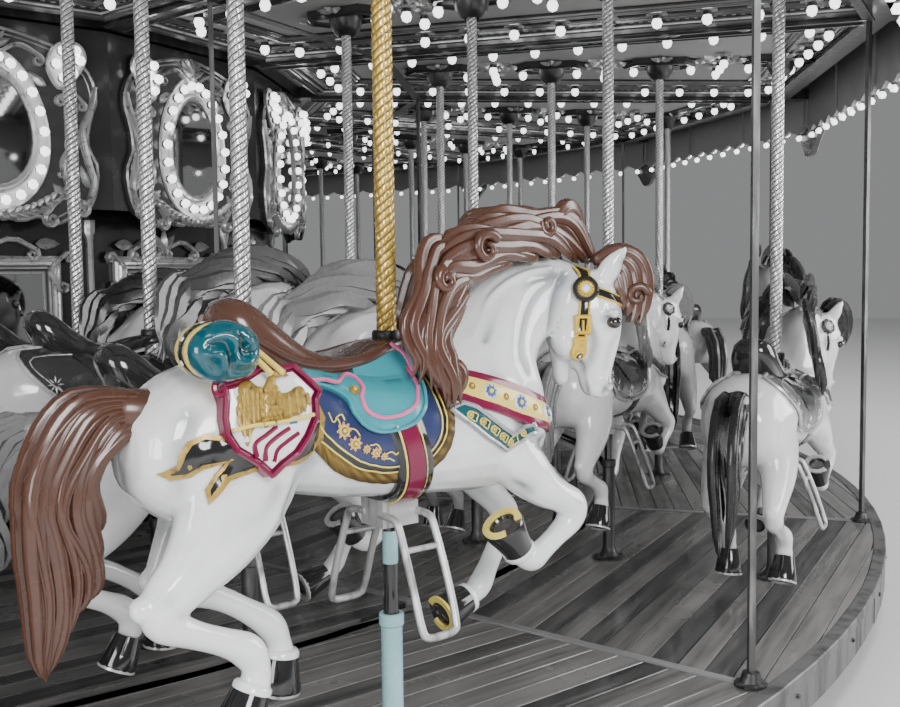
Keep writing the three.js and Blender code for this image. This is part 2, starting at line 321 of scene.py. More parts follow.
@dataclass
class Draft:
    """Points and faces gathered piece by piece before they become one mesh."""

    points: list[Array] = field(default_factory=list)
    marks: list[Array] = field(default_factory=list)
    faces: list[tuple[Array, "Finish"]] = field(default_factory=list)
    count: int = 0

    def put(self, points: Array, blocks: Sequence[Array], finish: "Finish", marks: Array | None = None) -> "Draft":
        """Adds points and the faces between them.

        Args:
            points: Points (n, 3).
            blocks: Arrays of faces, each (faces, corners).
            finish: What the faces are finished with.
            marks: Grain coordinates of the points, or the points themselves.

        Returns:
            The draft.
        """
        points = np.asarray(points, float).reshape(-1, 3)
        for block in blocks:
            self.faces.append((np.atleast_2d(np.asarray(block, int)) + self.count, finish))
        self.points.append(points)
        self.marks.append(points if marks is None else marks)
        self.count += len(points)
        return self

    def join(self, other: "Draft", *matrices: Array, finish: "Finish | None" = None) -> "Draft":
        """Adds copies of another draft, one for each matrix, or one as it is.

        Args:
            other: The draft to copy.
            matrices: Where the copies go.
            finish: A finish for the whole copy, or its own.

        Returns:
            The draft.
        """
        cloud, marks = np.vstack(other.points), np.vstack(other.marks)
        for matrix in matrices or (np.eye(4),):
            flip = np.linalg.det(matrix[:3, :3]) < 0
            for block, own in other.faces:
                block = block[:, ::-1] if flip else block
                self.faces.append((block + self.count, finish or own))
            self.points.append(cloud @ matrix[:3, :3].T + matrix[:3, 3])
            self.marks.append(marks)
            self.count += len(cloud)
        return self

    def moved(self, matrix: Array) -> "Draft":
        """A moved copy."""
        return Draft().join(self, matrix)

    def mesh(self, name: str, angle: float | None = 35.0, share: float = 1.0) -> bpy.types.Mesh:
        """The mesh, shaded smooth up to an angle in degrees, or flat where there is none.

        Args:
            name: The mesh's name.
            angle: Edges sharper than this stay sharp.
            share: How much of its triangles to keep, for things far from the viewer.

        Returns:
            The new mesh with its materials.
        """
        mesh = bpy.data.meshes.new(name)
        cloud = np.vstack(self.points)
        finishes = list(dict.fromkeys(finish for _, finish in self.faces))
        sizes = np.concatenate([np.full(len(block), block.shape[1]) for block, _ in self.faces])
        slots = np.concatenate([np.full(len(block), finishes.index(finish)) for block, finish in self.faces])
        mesh.vertices.add(len(cloud))
        mesh.vertices.foreach_set("co", cloud.ravel())
        mesh.loops.add(int(sizes.sum()))
        mesh.loops.foreach_set("vertex_index", np.concatenate([block.ravel() for block, _ in self.faces]))
        mesh.polygons.add(len(sizes))
        mesh.polygons.foreach_set("loop_start", np.concatenate([[0], np.cumsum(sizes)[:-1]]))
        mesh.polygons.foreach_set("material_index", slots)
        mesh.update(calc_edges=True)
        grain = mesh.attributes.new("grain", "FLOAT_VECTOR", "POINT")
        grain.data.foreach_set("vector", np.vstack(self.marks).ravel())
        for finish in finishes:
            mesh.materials.append(finish.material())
        face_outwards(mesh)
        if share < 1:
            mesh = modified(mesh, ("DECIMATE", {"ratio": share}))
        if angle is not None:
            mesh.shade_smooth()
            mesh.set_sharp_from_angle(angle=math.radians(angle))
        return mesh

    def piece(self, name: str, body: str, slot: str, angle: float | None = 35.0,
              share: float = 1.0) -> bpy.types.Object:
        """The draft as one piece that rides on a body.

        Args:
            name: The piece's name.
            body: The body that carries it.
            slot: The record's material slot; not used.
            angle: Edges sharper than this stay sharp.
            share: How much of its triangles to keep.

        Returns:
            The new object.
        """
        return add_piece(self.mesh(name, angle, share), name, body)


def add_piece(mesh: bpy.types.Mesh, name: str, body: str, matrix: Array | None = None) -> bpy.types.Object:
    """A mesh as a piece of the object, placed by a matrix.

    Args:
        mesh: The mesh, which several pieces may share.
        name: The piece's name.
        body: The body that carries it.
        matrix: Where it goes, or the model's own frame.

    Returns:
        The new object.
    """
    piece = bpy.data.objects.new(name, mesh)
    bpy.context.scene.collection.objects.link(piece)
    if matrix is not None:
        piece.matrix_world = Matrix(matrix.tolist())
    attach(piece, body)
    log.info("made %s on %s", name, body)
    return piece


def modified(mesh: bpy.types.Mesh, *modifiers: tuple[str, dict[str, object]]) -> bpy.types.Mesh:
    """A mesh as some modifiers leave it.

    Args:
        mesh: The mesh that they work on.
        modifiers: The type and the settings of each, in order.

    Returns:
        The new mesh.
    """
    item = bpy.data.objects.new("work", mesh)
    bpy.context.scene.collection.objects.link(item)
    for kind, settings in modifiers:
        modifier = item.modifiers.new(kind.lower(), kind)
        for name, value in settings.items():
            setattr(modifier, name, value)
    made = bpy.data.meshes.new_from_object(item.evaluated_get(bpy.context.evaluated_depsgraph_get()))
    bpy.data.objects.remove(item)
    return made


def face_outwards(mesh: bpy.types.Mesh) -> None:
    """Turns all faces of a mesh outwards.

    Args:
        mesh: The mesh, which is changed.
    """
    work = bmesh.new()
    work.from_mesh(mesh)
    bmesh.ops.recalc_face_normals(work, faces=work.faces)
    work.to_mesh(mesh)
    work.free()


def skin(rings: Array, finish: "Finish", start: Cap = Cap.FLAT, end: Cap = Cap.FLAT, wrap: bool = True,
         marks: Array | None = None) -> Draft:
    """A surface through rings of points.

    Args:
        rings: Points (rings, points, 3).
        finish: Its finish.
        start: How the first ring is closed.
        end: How the last ring is closed.
        wrap: Whether each ring closes on itself.
        marks: Grain coordinates (rings, points, 3).

    Returns:
        The draft.
    """
    count, size = rings.shape[:2]
    index = np.arange(count * size).reshape(count, size)
    after = np.roll(index, -1, axis=1)
    if not wrap:
        index, after = index[:, :-1], after[:, :-1]
    low, high = (1 if start is Cap.POINT else 0), (count - 2 if end is Cap.POINT else count - 1)
    points, blocks = rings.reshape(-1, 3), []
    if high > low:
        quads = np.stack([index[low:high], after[low:high], after[low + 1:high + 1], index[low + 1:high + 1]], -1)
        blocks.append(quads.reshape(-1, 4))
    extra = []
    for cap, at, ring in ((start, low, 0), (end, high, count - 1)):
        if cap is Cap.POINT:
            tip = len(points) + len(extra)
            extra.append(rings[ring].mean(0))
            blocks.append(np.stack([index[at], after[at], np.full(index.shape[1], tip)], -1))
        if cap is Cap.FLAT:
            blocks.append(np.arange(size)[None] + at * size)
    marks = points if marks is None else marks.reshape(-1, 3)
    if extra:
        points, marks = np.vstack([points, extra]), np.vstack([marks, extra])
    used = np.unique(np.concatenate([block.ravel() for block in blocks]))
    renumber = np.zeros(len(points), int)
    renumber[used] = np.arange(len(used))
    return Draft().put(points[used], [renumber[block] for block in blocks], finish, marks[used])


def lathe(profile: Sequence[Point], sides: int, finish: "Finish", closed: bool = False) -> Draft:
    """A shape turned about z from (radius, z) points.

    Args:
        profile: The outline; a radius of 0 at an end closes it in a point.
        sides: Points round it.
        finish: Its finish.
        closed: Whether the profile closes on itself, as a ring's does.

    Returns:
        The draft.
    """
    outline = [tuple(p) for p in profile] + ([tuple(profile[0])] if closed else [])
    rings = np.array([[(r * x, r * y, z) for x, y in circle(sides)] for r, z in outline])
    if closed:
        return skin(rings, finish, Cap.OPEN, Cap.OPEN)
    caps = [Cap.POINT if r < 1e-6 else Cap.FLAT for r, _ in (outline[0], outline[-1])]
    return skin(rings, finish, *caps)


def sweep(path: Array, section: Array, finish: "Finish", scale: float | Array = 1.0, start: Cap = Cap.FLAT,
          end: Cap = Cap.FLAT, up: Sequence[float] = (0, 0, 1), roll: float | Array = 0.0,
          loop: bool = False) -> Draft:
    """A section carried along a path.

    Args:
        path: Points (n, 3), or (n, 2) in the plane z = 0.
        section: Outline (m, 2): first number to the side, second upwards.
        finish: Its finish.
        scale: One number, one for each point, or two for each point.
        start: How the start is closed.
        end: How the end is closed.
        up: The direction that the section's upward side leans to at the start.
        roll: Turn of the section about the path, in radians, one or for each point.
        loop: Whether the path closes on itself.

    Returns:
        The draft.
    """
    path = np.asarray(path, float)
    path = raised(path, 0.0) if path.shape[1] == 2 else path
    ahead = headings(path, loop)
    upward = np.asarray(up, float)
    if abs(upward @ ahead[0]) > 0.95:
        upward = np.array([1.0, 0.0, 0.0])
    normals = np.zeros_like(path)
    for i, way in enumerate(ahead):
        upward = upward - way * (upward @ way)
        upward = upward / (np.linalg.norm(upward) + 1e-12)
        normals[i] = upward
    sides = np.cross(ahead, normals)
    size = np.asarray(scale, float)
    size = np.broadcast_to(size[:, None] if size.shape == (len(path),) else size, (len(path), 2))
    roll = np.broadcast_to(roll, len(path))
    c, s = np.cos(roll)[:, None], np.sin(roll)[:, None]
    u = section[None, :, 0] * size[:, :1]
    v = section[None, :, 1] * size[:, 1:]
    u, v = u * c - v * s, u * s + v * c
    rings = path[:, None] + u[..., None] * sides[:, None] + v[..., None] * normals[:, None]
    if loop:
        rings = np.concatenate([rings, rings[:1]])
        return skin(rings, finish, Cap.OPEN, Cap.OPEN)
    return skin(rings, finish, start, end)


def slab(outline: Sequence[Point], depth: float, finish: "Finish", bevel: float = 0.0, back: float = 0.0,
         hollow: float = 0.0) -> Draft:
    """A flat piece with an outline in the plane x, y and its thickness along z.

    Args:
        outline: Its corners (n, 2), counter-clockwise.
        depth: Height of its face above z = 0.
        finish: Its finish.
        bevel: Width and height of the slope round its face.
        back: Height of its back.
        hollow: How far the face sinks again inside the slope.

    Returns:
        The draft.
    """
    flat = np.asarray(outline, float)
    area = np.cross(flat, np.roll(flat, -1, axis=0)).sum()
    flat = flat if area > 0 else flat[::-1]
    normal = edge_normals(flat)
    inward = normal + np.roll(normal, 1, axis=0)
    inward /= np.maximum(np.linalg.norm(inward, axis=1)[:, None], 0.7)

    def level(inset: float, z: float) -> Array:
        """The outline drawn in by an inset at a height."""
        return raised(flat + inward * inset, z)

    rings = [level(0, back), level(0, depth - bevel)]
    if bevel:
        rings.append(level(bevel, depth))
    if hollow:
        rings += [level(2 * bevel, depth), level(2.6 * bevel, depth - hollow)]
    return skin(np.array(rings), finish)


def oblong(left: float, low: float, right: float, high: float) -> Array:
    """The four corners of an oblong, counter-clockwise."""
    return np.array([(left, low), (right, low), (right, high), (left, high)])


def box(low: Point, high: Point, finish: "Finish", bevel: float = 0.0) -> Draft:
    """A block between two corners, its upper edges sloped by a bevel."""
    (x0, y0, z0), (x1, y1, z1) = low, high
    return slab(oblong(x0, y0, x1, y1), z1, finish, bevel, z0)


def moulding(corners: Array, section: Sequence[Point], finish: "Finish") -> Draft:
    """A frame with mitred corners.

    Args:
        corners: The closed outline (n, 2) in the plane z = 0, counter-clockwise.
        section: Closed section (m, 2): how far inwards and how high.
        finish: Its finish.

    Returns:
        The draft.
    """
    flat = np.asarray(corners, float)
    normal = edge_normals(flat)
    before = np.roll(normal, 1, axis=0)
    mitre = (normal + before) / (1 + (normal * before).sum(1))[:, None]
    profile = np.asarray(section, float)
    rings = np.zeros((len(flat), len(profile), 3))
    rings[..., :2] = flat[:, None] + mitre[:, None] * profile[None, :, :1]
    rings[..., 2] = profile[None, :, 1]
    return skin(np.concatenate([rings, rings[:1]]), finish, Cap.OPEN, Cap.OPEN)


def tube(path: Array, radius: float | Array, finish: "Finish", sides: int = 8, loop: bool = False,
         start: Cap = Cap.FLAT, end: Cap = Cap.FLAT) -> Draft:
    """A round bar along a path."""
    return sweep(path, circle(sides), finish, radius, start, end, loop=loop)


def bead(outline: Array, z: float, radius: float, finish: "Finish", sides: int = 4) -> Draft:
    """A round bar along a closed plane outline at a height."""
    return tube(raised(outline, z), radius, finish, sides, loop=True)


def ball(radius: float, finish: "Finish", sides: int = 8, rings: int = 5, squash: float = 1.0) -> Draft:
    """A round bead.

    Args:
        radius: Its radius.
        finish: Its finish.
        sides: Points round it.
        rings: Points from pole to pole.
        squash: Its height for a width of 1.

    Returns:
        The draft.
    """
    angle = np.linspace(-math.pi / 2, math.pi / 2, rings)
    profile = [(max(0.0, radius * math.cos(a)) if abs(a) < 1.57 else 0.0, radius * squash * math.sin(a)) for a in angle]
    return lathe(profile, sides, finish)


# Finishes

class Grain(Enum):
    """What the surface of a finish is made of."""

    LACQUER = "lacquer"
    TIMBER = "timber"
    METAL = "metal"
    GILDING = "gilding"
    ROPE = "rope"


class Tree:
    """A node tree while it is wired."""

    def __init__(self, tree: bpy.types.NodeTree) -> None:
        """Keeps the tree."""
        self.tree = tree

    def node(self, kind: str, **inputs: object) -> bpy.types.Node:
        """Adds a node.

        Args:
            kind: The node's type without its ShaderNode.
            inputs: Values or sockets by input name, with _ for a blank, or inN for input number N.

        Returns:
            The node.
        """
        made = self.tree.nodes.new("ShaderNode" + kind)
        for name, value in inputs.items():
            key = int(name[2:]) if name.startswith("in") and name[2:].isdigit() else name.replace("_", " ")
            if isinstance(value, bpy.types.NodeSocket):
                self.tree.links.new(value, made.inputs[key])
            else:
                made.inputs[key].default_value = value
        return made

    def noise(self, place: bpy.types.NodeSocket, scale: object, detail: float = 4.0) -> bpy.types.NodeSocket:
        """A noise value over a place."""
        return self.node("TexNoise", Vector=place, Scale=scale, Detail=detail).outputs["Fac"]

    def math(self, operation: str, a: object, b: object = 0.0, clamp: bool = False) -> bpy.types.NodeSocket:
        """One sum of two values.

        Args:
            operation: The node's operation.
            a: The first value or socket.
            b: The second one.
            clamp: Whether the result stays between 0 and 1.

        Returns:
            The result's socket.
        """
        made = self.node("Math", in0=a, in1=b)
        made.operation = operation
        made.use_clamp = clamp
        return made.outputs[0]

    def ramp(self, value: object, low: float, high: float) -> bpy.types.NodeSocket:
        """A mask that goes from 0 at low to 1 at high.

        Args:
            value: The socket it reads.
            low: Where the mask is 0.
            high: Where it is 1.

        Returns:
            The mask's socket.
        """
        made = self.node("MapRange", Value=value)
        made.interpolation_type = "SMOOTHSTEP"
        made.inputs["From Min"].default_value = low
        made.inputs["From Max"].default_value = high
        return made.outputs["Result"]

    def mix(self, factor: object, a: object, b: object) -> bpy.types.NodeSocket:
        """A mix of two colours.

        Args:
            factor: The share of the second colour.
            a: The first colour or socket.
            b: The second one.

        Returns:
            The mixed colour's socket.
        """
        made = self.tree.nodes.new("ShaderNodeMix")
        made.data_type = "RGBA"
        for socket, value in ((made.inputs[0], factor), (made.inputs[6], a), (made.inputs[7], b)):
            if isinstance(value, bpy.types.NodeSocket):
                self.tree.links.new(value, socket)
            else:
                socket.default_value = value
        return made.outputs[2]


@lru_cache(maxsize=None)
def grain_group(grain: Grain) -> bpy.types.NodeTree:
    """The shader node group of one grain.

    Args:
        grain: Which grain.

    Returns:
        A group from Color, Shade, Scale, Rough and Spread to Color, Roughness and Height.
    """
    group = bpy.data.node_groups.new(f"{grain.value}_surface", "ShaderNodeTree")
    for name, kind in (("Color", "Color"), ("Shade", "Color"), ("Scale", "Float"), ("Rough", "Float"),
                       ("Spread", "Float")):
        group.interface.new_socket(name=name, in_out="INPUT", socket_type=f"NodeSocket{kind}")
    for name, kind in (("Color", "Color"), ("Roughness", "Float"), ("Height", "Float")):
        group.interface.new_socket(name=name, in_out="OUTPUT", socket_type=f"NodeSocket{kind}")
    wires = Tree(group)
    given = group.nodes.new("NodeGroupInput").outputs
    result = group.nodes.new("NodeGroupOutput").inputs
    place = wires.node("TexCoord").outputs["Object"]
    # Painted shade: a mask that darkens the colour where the surface is hollow, in creases, corners and recesses.
    crease_shade = wires.ramp(wires.node("NewGeometry").outputs["Pointiness"], 0.5, 0.42)
    if grain is Grain.TIMBER:
        marks = wires.node("Attribute")
        marks.attribute_name = "grain"
        place = wires.node("Mapping", Vector=marks.outputs["Vector"], Scale=(0.6, 9.0, 9.0)).outputs[0]
        fine = wires.noise(place, given["Scale"], 8.0)
        board = wires.node("SeparateXYZ", Vector=marks.outputs["Vector"]).outputs["Z"]
        tone = wires.math("ADD", wires.math("MULTIPLY", fine, 0.65), wires.math("MULTIPLY", board, 0.35))
        mask = wires.ramp(tone, 0.25, 0.75)
        scuff = wires.ramp(wires.noise(marks.outputs["Vector"], 1.3, 6.0), 0.4, 0.7)
        height, gloss = fine, scuff
    elif grain is Grain.METAL:
        metal_brushing_and_painted_shade = wires.node("Mapping", Vector=place, Scale=(1.0, 1.0, 0.15)).outputs[0]
        fine = wires.noise(metal_brushing_and_painted_shade, given["Scale"], 6.0)
        # The brushed noise, with painted shade in the creases.
        mask = wires.math("MAXIMUM", wires.ramp(fine, 0.45, 0.75), crease_shade, True)
        height, gloss = fine, fine
    elif grain is Grain.GILDING:
        fine = wires.noise(place, given["Scale"], 5.0)
        # The gilding's noise, with painted shade in the creases.
        mask = wires.math("MAXIMUM", wires.ramp(fine, 0.5, 0.8), crease_shade, True)
        height, gloss = fine, fine
    elif grain is Grain.ROPE:
        axes = wires.node("SeparateXYZ", Vector=place).outputs
        angle = wires.math("ARCTAN2", axes["Y"], axes["X"])

        def winding(lobes: float, pitch: float) -> bpy.types.NodeSocket:
            """How far a place is from a groove that winds round the pole."""
            across, along = wires.math("MULTIPLY", angle, lobes), wires.math("MULTIPLY", axes["Z"], math.pi / pitch)
            return wires.math("ABSOLUTE", wires.math("SINE", wires.math("ADD", across, along)))

        strand, crossing = winding(Pole.LOBES / 2, -Pole.PITCH), winding(Pole.CROSSINGS, Pole.CROSSING_PITCH)
        # Painted shade: darker in the grooves between the strands and along the shallow grooves that cross them.
        seam_and_crossing_shade = wires.math("MULTIPLY", wires.ramp(crossing, 0.30, 0.10), 0.7)
        mask = wires.math("MAXIMUM", wires.ramp(strand, 0.50, 0.15), seam_and_crossing_shade, True)
        mask = wires.math("MAXIMUM", mask, wires.math("MULTIPLY", wires.noise(place, given["Scale"], 4.0), 0.3), True)
        height = wires.math("MINIMUM", wires.math("MULTIPLY", strand, 1.4), wires.math("ADD", crossing, 0.35))
        gloss = mask
    else:
        soft = wires.ramp(wires.noise(place, given["Scale"], 3.0), 0.45, 0.85)
        speck = wires.ramp(wires.noise(place, wires.math("MULTIPLY", given["Scale"], 14.0), 2.0), 0.7, 0.8)
        mask = wires.math("ADD", wires.math("MULTIPLY", soft, 0.18), wires.math("MULTIPLY", speck, 0.15))
        # Painted shade: the shade attribute that Figure.groove lays along the carved grooves is added to the random
        # tone, with the painted shade in creases on top.
        metal_brushing_and_painted_shade = wires.node("Attribute")
        metal_brushing_and_painted_shade.attribute_name = "shade"
        mask = wires.math("MAXIMUM", wires.math("ADD", mask, metal_brushing_and_painted_shade.outputs["Fac"]), crease_shade, True)
        height = wires.noise(place, wires.math("MULTIPLY", given["Scale"], 2.5), 2.0)
        gloss = soft
    links = group.links
    links.new(wires.mix(mask, given["Color"], given["Shade"]), result["Color"])
    rough = wires.math("ADD", given["Rough"], wires.math("MULTIPLY", gloss, given["Spread"]), True)
    links.new(rough, result["Roughness"])
    links.new(height, result["Height"])
    return group


@dataclass(frozen=True)
class Finish:
    """A paint, stain or metal, as one material."""

    name: str
    color: Color
    # The colour that grain, random tone and painted shade mix towards
    shade: Color
    grain: Grain = Grain.LACQUER
    scale: float = 8.0
    rough: float = 0.2
    spread: float = 0.15
    relief: float = 0.08
    metallic: float = 0.0
    coat: float = 0.0
    glow: float = 0.0

    def material(self) -> bpy.types.Material:
        """The material, made once.

        Returns:
            The material, the same one at each call.
        """
        made = bpy.data.materials.get(self.name)
        if made:
            return made
        made = bpy.data.materials.new(self.name)
        made.use_nodes = True
        made.diffuse_color = (*self.color, 1)
        wires = Tree(made.node_tree)
        shader = made.node_tree.nodes["Principled BSDF"]
        surface = made.node_tree.nodes.new("ShaderNodeGroup")
        surface.node_tree = grain_group(self.grain)
        surface.inputs["Color"].default_value = (*self.color, 1)
        surface.inputs["Shade"].default_value = (*self.shade, 1)
        surface.inputs["Scale"].default_value = self.scale
        surface.inputs["Rough"].default_value = self.rough
        surface.inputs["Spread"].default_value = self.spread
        bump = wires.node("Bump", Height=surface.outputs["Height"], Strength=self.relief, Distance=0.004)
        for output, socket in ((surface.outputs["Color"], "Base Color"), (surface.outputs["Roughness"], "Roughness"),
                               (bump.outputs["Normal"], "Normal")):
            made.node_tree.links.new(output, shader.inputs[socket])
        shader.inputs["Metallic"].default_value = self.metallic
        shader.inputs["Coat Weight"].default_value = self.coat
        shader.inputs["Coat Roughness"].default_value = 0.06
        if self.glow:
            shader.inputs["Emission Color"].default_value = (*self.color, 1)
            shader.inputs["Emission Strength"].default_value = self.glow
        return made


def grey(value: float, warm: float = 0.0) -> Color:
    """A neutral grey, a little warmer or cooler."""
    return (value * (1 + warm), value, value * (1 - warm))


class Paint:
    """Every finish on the ride."""

    # For lacquer, metal, gilding and twisted poles, a finish's shade colour is also the painted shade in its creases
    # and grooves.
    # The front horse
    WHITE = Finish("white_lacquer", (0.80, 0.81, 0.82), (0.20, 0.21, 0.23), rough=0.12, coat=0.6)
    MANE = Finish("brown_mane", (0.080, 0.033, 0.020), (0.010, 0.003, 0.002), rough=0.27, coat=0.25, scale=14)
    SEAT = Finish("brown_saddle", (0.085, 0.038, 0.026), (0.03, 0.013, 0.009), rough=0.22, coat=0.35, scale=18)
    TEAL = Finish("teal_roll", (0.002, 0.075, 0.100), (0.001, 0.015, 0.02), rough=0.12, coat=0.6)
    TURQUOISE = Finish("turquoise_flap", (0.045, 0.30, 0.35), (0.015, 0.14, 0.17), rough=0.18, coat=0.35)
    PINK = Finish("pink_line", (0.70, 0.14, 0.31), (0.40, 0.08, 0.18), rough=0.25, coat=0.2)
    BLUE = Finish("blue_cloth", (0.024, 0.036, 0.110), (0.008, 0.012, 0.04), rough=0.28, coat=0.25, scale=16)
    GOLD = Finish("gold_paint", (0.40, 0.265, 0.055), (0.07, 0.04, 0.007), Grain.GILDING, 60, 0.28, 0.2, 0.15, 0.4, 0.2)
    YELLOW = Finish("yellow_band", (0.78, 0.63, 0.15), (0.42, 0.30, 0.05), rough=0.25, coat=0.2)
    ROSE = Finish("rose_gilt", (0.60, 0.30, 0.20), (0.25, 0.08, 0.06), rough=0.2, coat=0.3)
    GILT = Finish("gilt_trim", (0.66, 0.44, 0.05), (0.16, 0.09, 0.01), rough=0.2, coat=0.4)
    MAGENTA = Finish("magenta_band", (0.165, 0.005, 0.040), (0.06, 0.002, 0.015), rough=0.2, coat=0.3)
    DEEP_TEAL = Finish("deep_teal_plate", (0.008, 0.085, 0.100), (0.003, 0.03, 0.035), rough=0.2, coat=0.3)
    BLACK = Finish("black_lacquer", (0.012, 0.012, 0.013), (0.05, 0.05, 0.052), rough=0.1, coat=0.5)
    SILVER = Finish("silver_paint", (0.42, 0.43, 0.44), (0.13, 0.13, 0.14), Grain.GILDING, 50, 0.3, 0.2, 0.12, 0.5)
    TRIM_BLUE = Finish("rosette_blue", (0.045, 0.12, 0.30), (0.02, 0.05, 0.12), rough=0.2, coat=0.3)
    EYE = Finish("glass_eye", (0.010, 0.008, 0.007), (0.03, 0.02, 0.015), rough=0.03, spread=0.0, coat=1.0)
    JEWEL = Finish("glass_jewel", (0.75, 0.82, 0.88), (0.3, 0.4, 0.5), rough=0.05, spread=0.05, coat=1.0)
    GOLD_POLE = Finish("gold_pole", (0.72, 0.50, 0.12), (0.20, 0.11, 0.015), Grain.ROPE, 60, 0.24, 0.2, 0.6, 0.55, 0.3)
    TUBE_BLUE = Finish("light_blue_tube", (0.30, 0.52, 0.55), (0.10, 0.22, 0.25), rough=0.25, coat=0.2, scale=20)
    # Horses in greys
    COATS = tuple(Finish(f"coat_{i}", grey(value), grey(value * 0.25), rough=0.13, coat=0.5)
                  for i, value in enumerate((0.74, 0.72, 0.36, 0.62, 0.70, 0.48)))
    HAIR = tuple(Finish(f"hair_{i}", grey(value), grey(value * 0.12), rough=0.26, coat=0.3, scale=20)
                 for i, value in enumerate((0.014, 0.17, 0.06)))
    SADDLE = Finish("dark_saddle", grey(0.018), grey(0.10), rough=0.12, coat=0.5, scale=18)
    CLOTH = tuple(Finish(f"cloth_{i}", grey(value), grey(value * 0.3), rough=0.25, coat=0.2, scale=24)
                  for i, value in enumerate((0.03, 0.12, 0.012)))
    TRIM = Finish("silver_trim", grey(0.55), grey(0.12), Grain.GILDING, 50, 0.25, 0.2, 0.1, 0.4)
    HOOF = Finish("hoof_black", grey(0.015), grey(0.06), rough=0.12, coat=0.4)
    # Ride
    POLE = Finish("nickel_pole", grey(0.85), grey(0.012), Grain.ROPE, 60, 0.22, 0.2, 0.6, 0.55, 0.2)
    COLLAR = Finish("dark_collar", grey(0.03), grey(0.12), Grain.METAL, 40, 0.3, 0.2, 0.05, 0.6)
    TUBE = Finish("dark_tube", grey(0.05), grey(0.18), Grain.METAL, 30, 0.3, 0.25, 0.1, 0.6)
    RUNG = Finish("footrest_tube", grey(0.55), grey(0.14), Grain.METAL, 35, 0.25, 0.3, 0.1, 0.6)
    PLANK = Finish("deck_plank", grey(0.20, 0.03), grey(0.025), Grain.TIMBER, 3.0, 0.2, 0.35, 0.25, 0.0, 0.15)
    SEAM = Finish("deck_seam", grey(0.26), grey(0.06), Grain.TIMBER, 3.0, 0.3, 0.3, 0.2)
    SKIRT = Finish("rim_skirt", grey(0.16), grey(0.05), Grain.METAL, 12, 0.35, 0.3, 0.1, 0.5)
    BOLT = Finish("bolt_head", grey(0.05), grey(0.2), Grain.METAL, 60, 0.35, 0.2, 0.1, 0.8)
    STEEL = Finish("sweep_black", grey(0.02), grey(0.10), Grain.METAL, 10, 0.25, 0.2, 0.08, 0.3, 0.3)
    ROD = Finish("suspension_rod", grey(0.10), grey(0.25), Grain.METAL, 30, 0.35, 0.2, 0.08, 0.7)
    PANEL = Finish("ceiling_panel", grey(0.42), grey(0.16), Grain.LACQUER, 4, 0.18, 0.2, 0.05, 0.2, 0.3)
    DARK = Finish("dark_moulding", grey(0.03), grey(0.12), rough=0.16, coat=0.4)
    RELIEF = Finish("silver_relief", grey(0.58), grey(0.05), Grain.GILDING, 30, 0.22, 0.2, 0.12, 0.6, 0.2)
    CREAM = Finish("cream_board", grey(0.68, 0.01), grey(0.28), rough=0.2, coat=0.3)
    NIGHT = Finish("dark_board", grey(0.03), grey(0.08), rough=0.2, coat=0.3)
    MIRROR = Finish("mirror_glass", grey(0.55), grey(0.35), Grain.METAL, 2, 0.02, 0.04, 0.0, 1.0)
    BULB = Finish("frosted_bulb", grey(0.9), grey(0.8), Grain.LACQUER, 20, 0.3, 0.1, 0.0, glow=3.0)
    BOARD = Finish("carved_board", grey(0.055), grey(0.015), rough=0.2, coat=0.3)
    SOCKET = Finish("lamp_socket", grey(0.08), grey(0.3), Grain.METAL, 60, 0.3, 0.2, 0.1, 0.7)
    BACK = Finish("plain_board_back", grey(0.26), grey(0.17), Grain.LACQUER, 2.5, 0.4, 0.2, 0.04)
    ROOF = Finish("roof_sheet", grey(0.42), grey(0.26), Grain.LACQUER, 3, 0.5, 0.2, 0.05)
    HOUSING = Finish("housing_black", grey(0.018), grey(0.06), Grain.LACQUER, 5, 0.15, 0.15, 0.05, coat=0.4)


# Structure

def wedge(near: float, far: float, margin: float) -> Array:
    """A sector's trapezoid with x outwards and y along the ride, inside both seams.

    Args:
        near: Its inner edge, from the turning axis.
        far: Its outer edge.
        margin: How far its slanting sides stay from the seams.

    Returns:
        Four corners (4, 2), counter-clockwise.
    """
    slope, inset = math.tan(HALF_SECTOR), margin / math.cos(HALF_SECTOR)
    return np.array([(near, -near * slope + inset), (far, -far * slope + inset), (far, far * slope - inset),
                     (near, near * slope - inset)])


